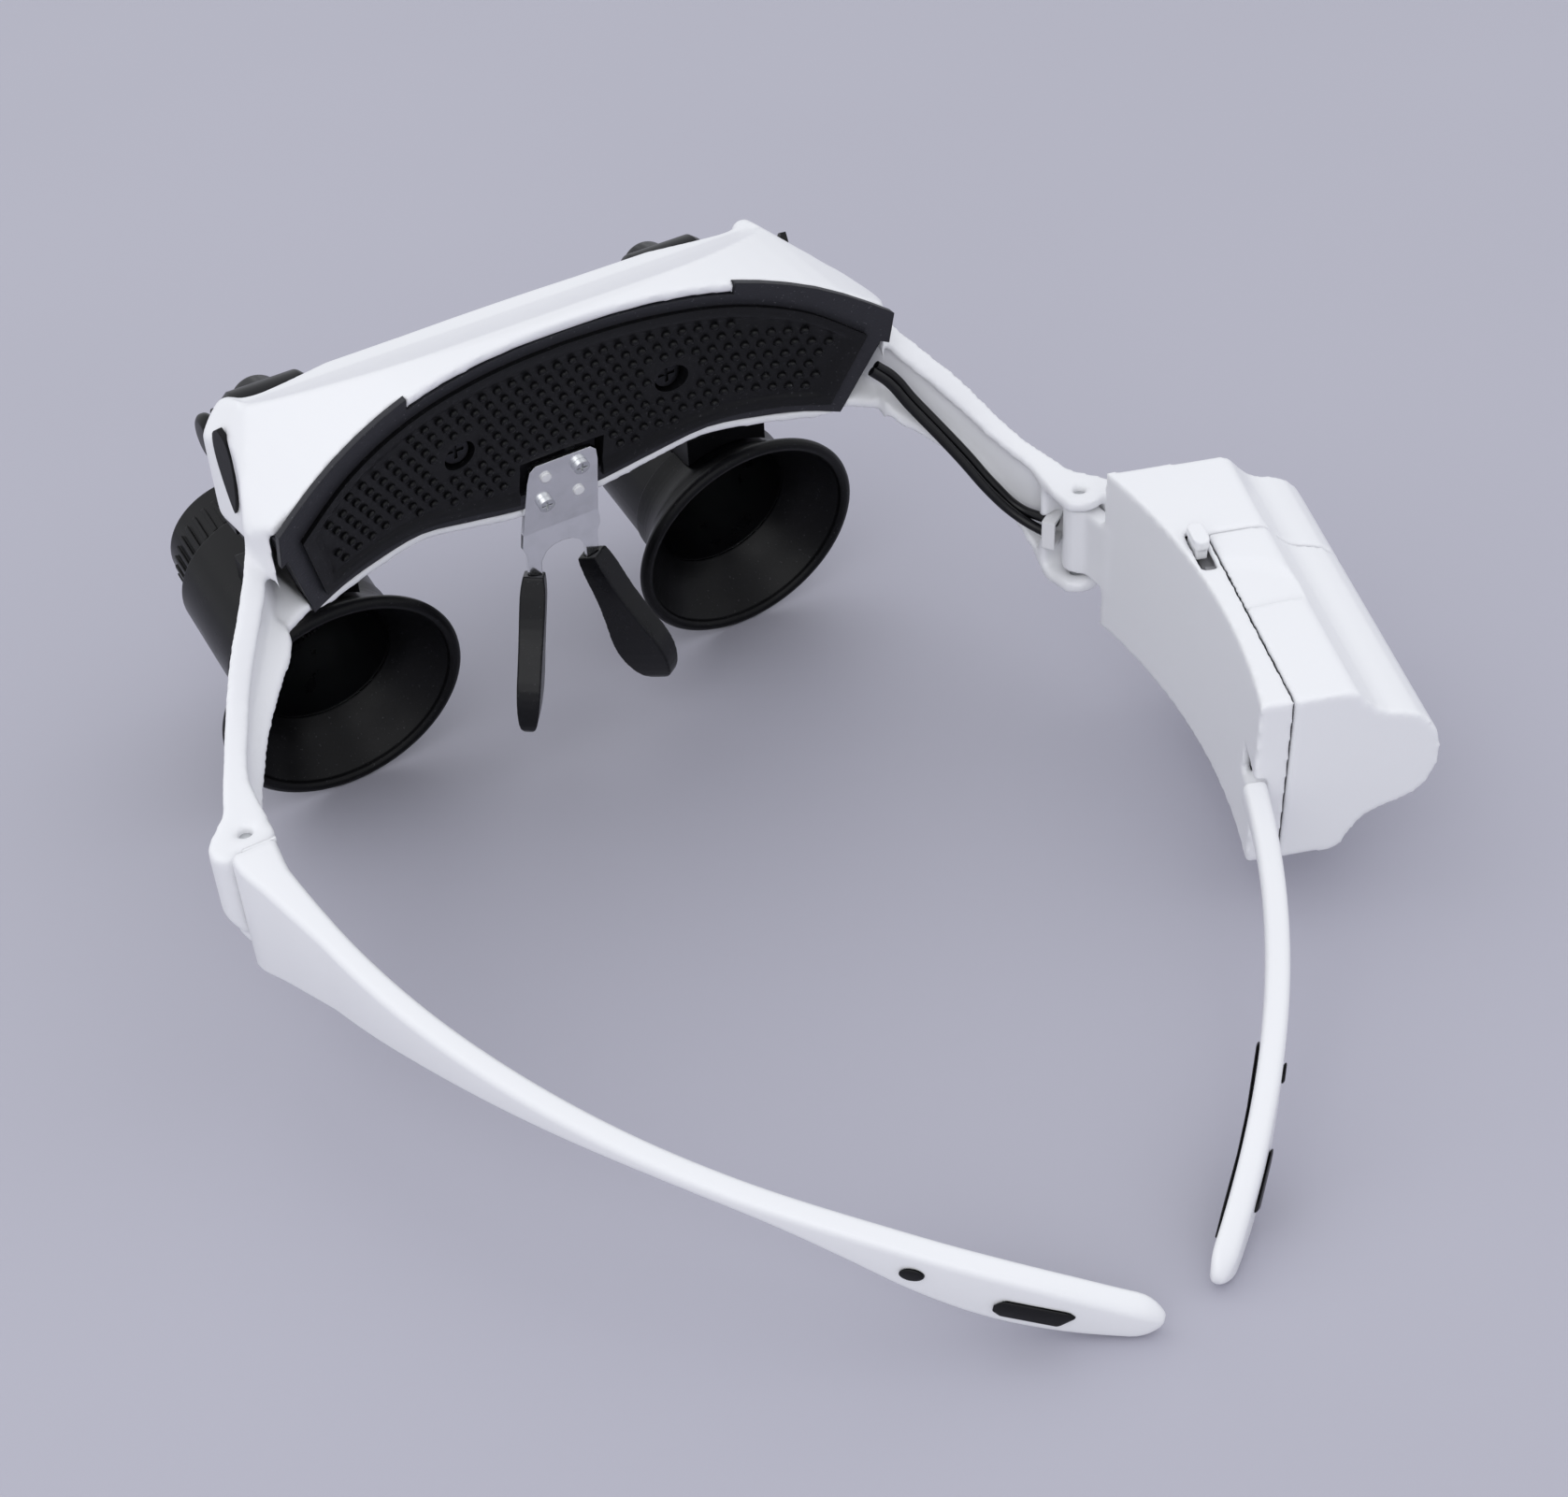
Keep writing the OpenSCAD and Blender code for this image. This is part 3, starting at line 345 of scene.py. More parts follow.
WHITE_SHELL = Moulded(
    "white_shell", (0.84, 0.843, 0.86), 0.34, Grain.SATIN, mottle=0.012, coat=0.15
)
WHITE_SKIN = Moulded(
    "white_skin", (0.84, 0.843, 0.86), 0.34, Grain.SATIN, mottle=0.012, coat=0.15, edge=0.0
)
WHITE_BOX = Moulded(
    "white_box", (0.85, 0.853, 0.87), 0.36, Grain.SATIN, mottle=0.01, coat=0.15, edge=0.0
)
WHITE_STUD = Moulded("white_stud", (0.8, 0.8, 0.81), 0.42, Grain.SATIN, mottle=0.02)
CHARCOAL = Moulded(
    "charcoal_band", (0.03, 0.03, 0.036), 0.5, Grain.ERODED, mottle=0.12, dust=0.25, ior=1.3
)
PAD_RUBBER = Moulded(
    "pad_rubber", (0.0035, 0.0035, 0.0042), 0.42, Grain.SKIN, mottle=0.2, dust=0.12, edge=0.0, ior=1.32
)
CUP_RUBBER = Moulded(
    "cup_rubber", (0.003, 0.003, 0.0036), 0.36, Grain.SKIN, mottle=0.25, dust=0.08, ior=1.26
)
SILICONE = Moulded(
    "silicone", (0.004, 0.004, 0.005), 0.3, Grain.SATIN, mottle=0.2, dust=0.06, edge=0.0, ior=1.34
)
BLACK_TRIM = Moulded(
    "black_trim", (0.006, 0.006, 0.007), 0.4, Grain.SATIN, mottle=0.15, dust=0.06, ior=1.3
)
BLACK_PLASTIC = Moulded(
    "black_plastic", (0.005, 0.005, 0.006), 0.34, Grain.SATIN, mottle=0.15, dust=0.05, ior=1.3
)
BLACK_TUBE = Moulded(
    "black_tube", (0.0035, 0.0035, 0.0042), 0.3, Grain.POLISHED, mottle=0.12, ior=1.3
)
WIRE_SLEEVE = Moulded(
    "wire_sleeve", (0.004, 0.004, 0.005), 0.24, Grain.POLISHED, mottle=0.1, edge=0.0, ior=1.36
)
DARK_SWITCH = Moulded("dark_switch", (0.3, 0.3, 0.31), 0.42, Grain.SATIN)
CELL_JACKET = Moulded(
    "cell_jacket", (0.05, 0.085, 0.12), 0.28, Grain.POLISHED, mottle=0.08, coat=0.4
)
NOSE_STEEL = Metal("nose_steel", (0.93, 0.935, 0.945), 0.16)
BRIGHT_SCREW = Metal("bright_screw", (0.72, 0.73, 0.74), 0.24, (1.0, 1.0, 1.0))
DARK_SCREW = Metal("dark_screw", (0.035, 0.035, 0.038), 0.34, (1.0, 1.0, 1.0))
PIN_STEEL = Metal("pin_steel", (0.6, 0.61, 0.62), 0.3, (1.0, 1.0, 0.3))
CONTACT_METAL = Metal("contact_metal", (0.74, 0.68, 0.52), 0.28)
LENS_GLASS = Clear("lens_glass", (0.93, 0.97, 0.98))
LAMP_GLASS = Clear("lamp_glass", (0.96, 0.97, 0.98), 0.05)

Finish = Moulded | Metal | Clear


class Workshop:
    """Makes each material once and puts it on pieces."""

    def __init__(self) -> None:
        """Starts with no material made."""
        self.made: dict[str, bpy.types.Material] = {}

    def material(self, finish: Finish) -> bpy.types.Material:
        """Returns the material of a finish, made at its first use."""
        if finish.name not in self.made:
            self.made[finish.name] = finish.material()
        return self.made[finish.name]

    def dress(self, piece: bpy.types.Object, finish: Finish) -> None:
        """Puts a finish on a piece.

        Args:
            piece: the object to dress.
            finish: its finish.
        """
        piece.data.materials.clear()
        piece.data.materials.append(self.material(finish))
        LOG.info("%s: %s, %d faces", piece.name, finish.name, len(piece.data.polygons))

    def dress_nodes(self, finishes: dict[str, Finish]) -> None:
        """Dresses CAD nodes by name."""
        for name, finish in finishes.items():
            self.dress(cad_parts[name], finish)


def new_piece(
    name: str, bm: bmesh.types.BMesh, body: str, smooth_angle: float = 40.0
) -> bpy.types.Object:
    """Makes a piece of a finished bmesh and lets it ride on a body.

    Args:
        name: name of the piece.
        bm: its mesh, in place, which this frees.
        body: name of the CAD body that carries it.
        smooth_angle: edges sharper than this many degrees stay sharp.

    Returns:
        The new object.
    """
    for face in bm.faces:
        face.smooth = True
    for edge in bm.edges:
        if edge.is_manifold and edge.calc_face_angle(0.0) > math.radians(smooth_angle):
            edge.smooth = False
    mesh = bpy.data.meshes.new(name)
    bm.to_mesh(mesh)
    bm.free()
    piece = bpy.data.objects.new(name, mesh)
    bpy.context.scene.collection.objects.link(piece)
    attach(piece, body)
    return piece


def between(points: Sequence[tuple[float, float]], x: float) -> float:
    """Reads a curve through points at x.

    Args:
        points: the curve's points, with x rising.
        x: where to read it; it is clamped to the curve's ends.

    Returns:
        The curve's value, eased between the points.
    """
    if x <= points[0][0]:
        return points[0][1]
    for k in range(len(points) - 1):
        (x0, y0), (x1, y1) = points[k], points[k + 1]
        if x <= x1:
            before = points[max(k - 1, 0)]
            after = points[min(k + 2, len(points) - 1)]
            t = (x - x0) / (x1 - x0)
            m0 = (y1 - before[1]) / (x1 - before[0]) * (x1 - x0)
            m1 = (after[1] - y0) / (after[0] - x0) * (x1 - x0)
            return (
                (2 * t**3 - 3 * t**2 + 1) * y0
                + (t**3 - 2 * t**2 + t) * m0
                + (3 * t**2 - 2 * t**3) * y1
                + (t**3 - t**2) * m1
            )
    return points[-1][1]


@dataclass(frozen=True)
class Stance:
    """How the worn frame leans on the table, from the model's two stance sizes."""

    tilt: float = math.radians(7.72)
    height: float = 31.11 * MM

    def stand(self, x: float, y: float, z: float) -> Vector:
        """Moves a point from the worn frame to the standing one.

        Args:
            x: place to the wearer's left, in millimetres.
            y: place to the back of the head, in millimetres.
            z: height in millimetres.

        Returns:
            The point in the row frame, in metres.
        """
        turned = Matrix.Rotation(-self.tilt, 3, "X") @ Vector((x * MM, y * MM, z * MM))
        return turned + Vector((0.0, 0.0, self.height))


def copied(node: str) -> bmesh.types.BMesh:
    """Takes a copy of a CAD node's mesh, with its doubled vertices merged.

    Args:
        node: name of the node, which stays as it is.

    Returns:
        The copy, in the row frame.
    """
    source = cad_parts[node]
    bm = bmesh.new()
    bm.from_mesh(source.data)
    bm.transform(source.matrix_world)
    bmesh.ops.remove_doubles(bm, verts=bm.verts, dist=NODE_DOUBLES)
    return bm


def add_part(bm: bmesh.types.BMesh, part: bmesh.types.BMesh) -> None:
    """Adds a part's faces to a mesh and frees the part."""
    mesh = bpy.data.meshes.new("part")
    part.to_mesh(mesh)
    part.free()
    bm.from_mesh(mesh)
    bpy.data.meshes.remove(mesh)


def cut_off(bm: bmesh.types.BMesh, start: Vector, away: Vector) -> None:
    """Clears what lies past a plane and closes the cut.

    Args:
        bm: closed solids, which lose what is past the plane.
        start: a point of the plane.
        away: direction in which everything goes.
    """
    bmesh.ops.bisect_plane(
        bm, geom=bm.verts[:] + bm.edges[:] + bm.faces[:], dist=CUT_REACH, plane_co=start,
        plane_no=away.normalized(), clear_outer=True,
    )
    bmesh.ops.holes_fill(bm, edges=[e for e in bm.edges if e.is_boundary], sides=0)


def sweep(bm: bmesh.types.BMesh, sections: list[list[Vector]]) -> None:
    """Lays a skin through a row of closed sections, with a cap at both ends.

    Args:
        bm: the mesh that gets the skin.
        sections: rings of as many points each, in the row frame.
    """
    before: list[bmesh.types.BMEdge] = []
    for k, points in enumerate(sections):
        ring = bmesh.ops.create_circle(
            bm, cap_ends=k in (0, len(sections) - 1), segments=len(points), radius=1.0
        )["verts"]
        edges = list(dict.fromkeys(e for v in ring for e in v.link_edges))
        for v, p in zip(ring, points):
            v.co = p
        if before:
            bmesh.ops.bridge_loops(bm, edges=before + edges)
        before = edges


def evaluated(
    name: str, data: bpy.types.ID, prepare: Callable[[bpy.types.Object], None]
) -> bmesh.types.BMesh:
    """Turns a curve or a mesh with modifiers into a plain mesh.

    Args:
        name: name of the passing object that carries the data.
        data: the curve or mesh.
        prepare: adds what the object needs before it is evaluated.

    Returns:
        The evaluated mesh, with its doubled vertices merged.
    """
    drawn = bpy.data.objects.new(name, data)
    bpy.context.scene.collection.objects.link(drawn)
    prepare(drawn)
    bpy.context.view_layer.update()
    finished = drawn.evaluated_get(bpy.context.evaluated_depsgraph_get())
    mesh = bpy.data.meshes.new_from_object(finished)
    bpy.data.objects.remove(drawn)
    bm = bmesh.new()
    bm.from_mesh(mesh)
    bpy.data.meshes.remove(mesh)
    bmesh.ops.remove_doubles(bm, verts=bm.verts, dist=DRAWN_DOUBLES)
    bmesh.ops.recalc_face_normals(bm, faces=bm.faces)
    return bm


@dataclass(frozen=True)
class Rounded:
    """A CAD node drawn again with the rounded edges that its mould leaves.

    The radius and the least length are in millimetres, the angles in degrees.
    """

    node: str
    body: str
    slot: str
    radius: float
    least: float = 0.1
    flat: float = 2.0
    sharp: float = 38.0
    smooth: float = 32.0

    def build(self) -> bpy.types.Object:
        """Builds the rounded piece, which stands for the node.

        Returns:
            The new piece.
        """
        bm = copied(self.node)
        bmesh.ops.remove_doubles(bm, verts=bm.verts, dist=self.least * MM)
        bmesh.ops.dissolve_limit(
            bm, angle_limit=math.radians(self.flat), verts=bm.verts, edges=bm.edges
        )
        sharp = math.radians(self.sharp)
        edges = [e for e in bm.edges if e.is_manifold and e.calc_face_angle(0.0) > sharp]
        bmesh.ops.bevel(
            bm, geom=edges, offset=self.radius * MM, offset_type="OFFSET", segments=3, profile=0.5,
            affect="EDGES", material=-1, clamp_overlap=False, loop_slide=True,
        )
        bmesh.ops.triangulate(bm, faces=bm.faces)
        bmesh.ops.recalc_face_normals(bm, faces=bm.faces)
        piece = new_piece(f"{self.node}_moulded", bm, self.body, self.smooth)
        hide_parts(self.node)
        return piece


@dataclass(frozen=True)
class Skin:
    """A CAD node drawn again as one even skin, with all its edges softened.

    The skin has cells of so many millimetres and is smoothed in so many rounds.
    """

    node: str
    body: str
    slot: str
    cell: float
    rounds: int
    smooth: float = 70.0

    def build(self, form: bmesh.types.BMesh | None = None) -> bpy.types.Object:
        """Builds the softened piece, which stands for the node.

        Args:
            form: closed solids to put the skin round, in place of the node's own.

        Returns:
            The new piece.
        """
        form = form or copied(self.node)
        mesh = bpy.data.meshes.new(f"{self.node}_form")
        form.to_mesh(mesh)
        form.free()
        bm = evaluated(f"{self.node}_form", mesh, self.remesh)
        for _ in range(self.rounds):
            bmesh.ops.smooth_vert(
                bm, verts=bm.verts, factor=0.5, use_axis_x=True, use_axis_y=True, use_axis_z=True
            )
        piece = new_piece(f"{self.node}_moulded", bm, self.body, self.smooth)
        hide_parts(self.node)
        return piece

    def remesh(self, drawn: bpy.types.Object) -> None:
        """Adds the even grid to the passing object."""
        grid = drawn.modifiers.new("skin", "REMESH")
        grid.mode = "VOXEL"
        grid.voxel_size = self.cell * MM


@dataclass(frozen=True)
class Arms:
    """The brow frame with its two arms drawn as even channels from the brow's corners to the hinges.

    Sizes are in millimetres of the worn frame. The outer and inner lines are seen from above, the
    top and foot give heights along them, and the rim is the upper wall's share of the width. The
    brow's end and the patch are a place and a direction each.
    """

    stance: Stance
    outer: Profile = (
        (53.4, -31.6), (54.2, -30.4), (56.1, -27.9), (58.4, -25.2), (60.7, -22.6), (63.1, -20.0),
        (65.4, -17.0), (67.5, -13.9), (70.0, -9.5), (71.9, -5.6),
    )
    inner: Profile = (
        (51.4, -27.0), (51.5, -25.8), (52.6, -23.8), (54.9, -21.8), (57.2, -19.8), (59.7, -17.6),
        (62.0, -15.2), (64.4, -12.2), (66.2, -8.9), (66.9, -5.5),
    )
    top: Profile = (
        (-33, 33.4), (-29.3, 30.0), (-24, 24.9), (-20, 20.3), (-16, 15.8), (-12, 12.4), (-8, 10.4),
        (-4, 9.0),
    )
    foot: Profile = (
        (-34, 19.0), (-30, 17.6), (-26, 15.6), (-22, 12.4), (-18, 7.9), (-13.3, 1.5), (-10.8, -1.8),
        (-6.8, -6.4), (-3.4, -9.6),
    )
    rim: Profile = ((0, 0.62), (1, 0.6), (3, 0.64), (5, 0.74), (7, 0.92), (9, 1.0))
    wall: float = 1.9
    stations: int = 36
    splits: int = 3
    brow_end: tuple[Point, Point] = ((54.2, -30.4, 0.0), (0.854, 0.52, 0.0))
    hinge_end: float = -7.0
    patch: tuple[Point, Point] = ((46.9, -41.2, 38.76), (0.51, 0.12, 0.85))
    patch_size: Point = (3.4, 3.4, 1.6)
    patch_depth: float = 0.85

    def section(self, place: float, side: float) -> list[Vector]:
        """Draws the open channel's section at one place of an arm.

        Args:
            place: number along the arm's pairs of points.
            side: 1 for the left arm, -1 for the right one.

        Returns:
            The section's points in the row frame, in metres.
        """
        ends = []
        for line in (self.outer, self.inner):
            ends.append([between([(k, p[axis]) for k, p in enumerate(line)], place) for axis in (0, 1)])
        width = math.dist(*ends)
        deep = self.wall / width
        rim = between(self.rim, place)
        corners = [
            (0, 0, 0), (0, 1, 0), (rim, 1, 0), (rim, 1, -1),
            (deep, 1, -1), (deep, 0, 1), (1, 0, 1), (1, 0, 0),
        ]
        points = []
        for a, high, inward in corners:
            x, y = (ends[0][k] + (ends[1][k] - ends[0][k]) * a for k in (0, 1))
            z = between(self.top if high else self.foot, y) + inward * self.wall
            points.append(Vector((side * x, y, z)))
        ring = []
        for k, p in enumerate(points):
            after = points[(k + 1) % len(points)]
            ring += [
                self.stance.stand(*p.lerp(after, split / self.splits)) for split in range(self.splits)
            ]
        return ring

    def channel(self, bm: bmesh.types.BMesh, side: float) -> None:
        """Adds one arm's channel, closed at both ends."""
        pitch = (len(self.outer) - 1) / self.stations
        sweep(bm, [self.section(k * pitch, side) for k in range(self.stations + 1)])

    def close_slit(self, bm: bmesh.types.BMesh, side: float) -> None:
        """Lays a small plate in the thin place behind a front corner, flush with its skin."""
        (x, y, z), (nx, ny, nz) = self.patch
        normal = Vector((side * nx, ny, nz)).normalized()
        middle = Vector((side * x, y, z)) - normal * self.patch_depth
        turn = normal.to_track_quat("Z", "Y").to_matrix().to_4x4()
        plate = bmesh.ops.create_cube(bm, size=1.0)["verts"]
        place = Matrix.Translation(middle) @ turn @ Matrix.Diagonal((*self.patch_size, 1.0))
        for v in plate:
            v.co = self.stance.stand(*(place @ v.co))

    def cut(self, bm: bmesh.types.BMesh, spot: Point, away: Point) -> None:
        """Cuts solids off at a plane that the worn frame's point and direction give."""
        start = self.stance.stand(*spot)
        cut_off(bm, start, self.stance.stand(*(a + b for a, b in zip(spot, away))) - start)

    def form(self) -> bmesh.types.BMesh:
        """Joins the brow, the hinge ends and the two channels.

        Returns:
            Closed solids in the row frame.
        """
        whole = copied("front_frame")
        (x, y, z), (ax, ay, az) = self.brow_end
        for side in (1, -1):
            self.cut(whole, (side * x, y, z), (side * ax, ay, az))
        hinges = copied("front_frame")
        self.cut(hinges, (0.0, self.hinge_end, 0.0), (0.0, -1.0, 0.0))
        add_part(whole, hinges)
        channels = bmesh.new()
        for side in (1.0, -1.0):
            self.channel(channels, side)
            self.close_slit(channels, side)
        bmesh.ops.recalc_face_normals(channels, faces=channels.faces)
        add_part(whole, channels)
        return whole


@dataclass(frozen=True)
class ForeheadPad:
    """The soft nubbed pad on the brow, moulded in one piece with its rolled edge.

    Sizes are in millimetres. The face is the y and z of the head's surface in the middle. The top
    and foot lines give heights by the distance from the middle, the notch its half width and top,
    and the screws the x, z and radius of a well.
    """

    stance: Stance
    head_radius: float = 115.0
    face: tuple[float, float] = (-36.4, 30.2)
    lean: float = math.radians(15.0)
    thickness: float = 2.3
    proud: float = 0.4
    half_top: float = 47.4
    half_foot: float = 43.6
    top: Profile = ((0, 44.6), (14, 44.2), (27, 42.6), (38, 38.8), (47.4, 32.6))
    foot: Profile = ((0, 12.7), (8, 13.7), (16, 16.2), (26, 19), (36, 19.2), (43.6, 18.2))
    grid: tuple[int, int] = (140, 44)
    notch: tuple[float, float] = (7.3, 22.1)
    screws: tuple[float, float, float] = (18.1, 30.2, 2.7)
    well_reach: float = 1.9
    lip: float = 1.35
    lip_gap: float = 0.02
    bead: float = 0.55
    bead_foot: float = 2.7
    bead_run: float = 1.1
    rim_round: float = 0.4
    rim_angle: float = 1.0
    rim_height: float = 1.0
    top_slant: float = 0.94
    edge_slant: float = 0.97
    nub_radius: float = 0.72
    nub_faces: tuple[int, int] = (12, 8)
    nub_pitch: float = 2.55
    nub_row: float = 2.35
    nub_rows: int = 13
    nub_columns: int = 18
    nub_foot: float = 14.6
    nub_bend: float = 0.0022
    nub_clear: float = 1.2
    nub_margin: float = 3.4
    smooth: float = 60.0

    def on_head(self, x: float, z: float, depth: float) -> Vector:
        """Bends a point of the flat pad round the head.

        Args:
            x: place to the left, in millimetres.
            z: height in the worn frame, in millimetres.
            depth: how far in front of the head's surface, in millimetres.

        Returns:
            The point in the row frame, in metres.
        """
        y = self.head_radius - math.sqrt((self.head_radius + depth) ** 2 - x * x)
        s, c = math.sin(self.lean), math.cos(self.lean)
        h = (z - self.face[1] + y * s) / c
        return self.stance.stand(x, self.face[0] + y * c + h * s, z)

    def spread(self, u: float, t: float) -> Vector:
        """Places a point of the unit sheet in the pad's outline.

        Args:
            u: share of the half width, from -1 to 1.
            t: share of the height, from 0 to 1.

        Returns:
            The point, with the worn frame's x and z as its x and y, in millimetres.
        """
        xt, xf = u * self.half_top, u * self.half_foot
        zt, zf = between(self.top, abs(xt)), between(self.foot, abs(xf))
        return Vector((xf + (xt - xf) * t, zf + (zt - zf) * t, 0.0))

    def inside(self, x: float, z: float) -> float:
        """Measures how far a point lies inside the outline, in millimetres."""
        top, foot = between(self.top, abs(x)) - z, z - between(self.foot, abs(x))
        t = min(max(foot / max(top + foot, 0.01), 0.0), 1.0)
        side = self.half_foot + (self.half_top - self.half_foot) * t - abs(x)
        return min(top * self.top_slant, foot * self.edge_slant, side * self.edge_slant)

    def flat_sheet(self) -> bmesh.types.BMesh:
        """Makes the pad's outline as a flat sheet with its cut-outs.

        Returns:
            A sheet whose x and y are the worn frame's x and z, in millimetres.
        """
        bm = bmesh.new()
        columns, rows = self.grid
        bmesh.ops.create_grid(bm, x_segments=columns, y_segments=rows, size=1.0)
        for v in bm.verts:
            v.co = self.spread(v.co.x, (v.co.y + 1.0) / 2.0)
        half, height = self.notch
        notch_sides = {(half, 0, 0): (1, 0, 0), (-half, 0, 0): (1, 0, 0), (0, height, 0): (0, 1, 0)}
        for spot, normal in notch_sides.items():
            bmesh.ops.bisect_plane(
                bm, geom=bm.verts[:] + bm.edges[:] + bm.faces[:], plane_co=spot, plane_no=normal
            )
        screw_x, screw_z, well = self.screws
        gone = []
        for f in bm.faces:
            middle = f.calc_center_median()
            if abs(middle.x) < half and middle.y < height:
                gone.append(f)
            elif math.hypot(abs(middle.x) - screw_x, middle.y - screw_z) < well:
                gone.append(f)
        bmesh.ops.delete(bm, geom=gone, context="FACES")
        for v in bm.verts:
            away = Vector((abs(v.co.x) - screw_x, v.co.y - screw_z))
            if v.is_boundary and away.length < well * self.well_reach:
                away = away.normalized() * well
                side = 1.0 if v.co.x > 0 else -1.0
                v.co.x, v.co.y = side * (screw_x + away.x), screw_z + away.y
        return bm

    def build(self) -> bpy.types.Object:
        """Builds the pad.

        Returns:
            The pad, which stands for its CAD solid.
        """
        bm = self.flat_sheet()
        bmesh.ops.recalc_face_normals(bm, faces=bm.faces)
        if bm.faces[:][0].normal.z < 0:
            bmesh.ops.reverse_faces(bm, faces=bm.faces)
        skin = bmesh.ops.extrude_face_region(bm, geom=bm.faces[:])
        moved = [g for g in skin["geom"] if isinstance(g, bmesh.types.BMVert)]
        bmesh.ops.translate(bm, verts=moved, vec=(0.0, 0.0, self.thickness + self.proud))
        upper = set(moved)
        for v in bm.verts:
            depth = self.inside(v.co.x, v.co.y)
            if v in upper:
                rise = min(max((self.bead_foot - depth) / self.bead_run, 0.0), 1.0)
                v.co.z += self.bead * rise * rise * (3.0 - 2.0 * rise)
            elif depth < self.lip:
                v.co.z = self.thickness + self.lip_gap
        bmesh.ops.recalc_face_normals(bm, faces=bm.faces)
        folds = [e for e in bm.edges if e.is_manifold and e.calc_face_angle(0.0) > self.rim_angle]
        rim = [e for e in folds if min(v.co.z for v in e.verts) > self.rim_height]
        bmesh.ops.bevel(
            bm, geom=rim, offset=self.rim_round, offset_type="OFFSET", segments=3, profile=0.5,
            affect="EDGES", material=-1, clamp_overlap=True,
        )
        around, along = self.nub_faces
        for x, z in self.nub_places():
            dome = bmesh.ops.create_uvsphere(
                bm, u_segments=around, v_segments=along, radius=self.nub_radius
            )["verts"]
            bmesh.ops.translate(bm, vec=(x, z, self.thickness + self.proud), verts=dome)
        for v in bm.verts:
            v.co = self.on_head(v.co.x, v.co.y, self.thickness - v.co.z)
        bmesh.ops.recalc_face_normals(bm, faces=bm.faces)
        pad = new_piece("forehead_cushion", bm, "brow", self.smooth)
        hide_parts("forehead_pad")
        return pad

    def nub_places(self) -> Iterable[tuple[float, float]]:
        """Lists the nubs' places, in rows that bend with the pad.

        Returns:
            Pairs of x and height in the worn frame, in millimetres.
        """
        screw_x, screw_z, well = self.screws
        half, height = self.notch
        for row in range(self.nub_rows):
            for column in range(-self.nub_columns, self.nub_columns + 1):
                x = (column + (row % 2) / 2.0) * self.nub_pitch
                z = self.nub_foot + row * self.nub_row - self.nub_bend * x * x
                clear = math.hypot(abs(x) - screw_x, z - screw_z) > well + self.nub_clear
                low = abs(x) < half + self.nub_clear and z < height + self.nub_clear
                if self.inside(x, z) > self.nub_margin and clear and not low:
                    yield x, z


@dataclass(frozen=True)
class TwinLead:
    """The two wires that run from the pad's edge down the right arm to their clip at the hinge.

    The radius and the routes are in millimetres of the worn frame.
    """

    stance: Stance
    radius: float = 0.8
    upper: tuple[Point, ...] = (
        (-48.6, -25.3, 25.0), (-51.0, -24.1, 22.6), (-53.4, -22, 18.6), (-56.2, -18.8, 14.2),
        (-59, -15.6, 9.6), (-62.2, -11.6, 4), (-64.8, -8.4, 0.6), (-67.2, -4.6, -1.2), (-68, -2.6, -1.3),
    )
    lower: tuple[Point, ...] = (
        (-49.9, -26.0, 25.2), (-52.4, -24.9, 22.8), (-54.8, -22.9, 18.8), (-57.6, -19.7, 14.4),
        (-60.4, -16.5, 9.9), (-63.6, -12.5, 4.3), (-66.1, -9.2, 0.9), (-67.9, -5.7, 0.5),
        (-69.3, -3.1, 0.4),
    )

    def build(self) -> bpy.types.Object:
        """Builds both wires as one piece.

        Returns:
            The wires, which stand for their CAD solid.
        """
        curve = bpy.data.curves.new("twin_wire", "CURVE")
        curve.dimensions = "3D"
        curve.bevel_depth = self.radius * MM
        curve.bevel_resolution = 5
        curve.resolution_u = 8
        curve.use_fill_caps = True
        for path in (self.upper, self.lower):
            spline = curve.splines.new("BEZIER")
            spline.bezier_points.add(len(path) - 1)
            for knot, place in zip(spline.bezier_points, path):
                knot.co = self.stance.stand(*place)
                knot.handle_left_type = knot.handle_right_type = "AUTO"
        bm = evaluated("twin_wire_route", curve, lambda drawn: None)
        wires = new_piece("twin_wire", bm, "brow")
        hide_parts("lead")
        return wires


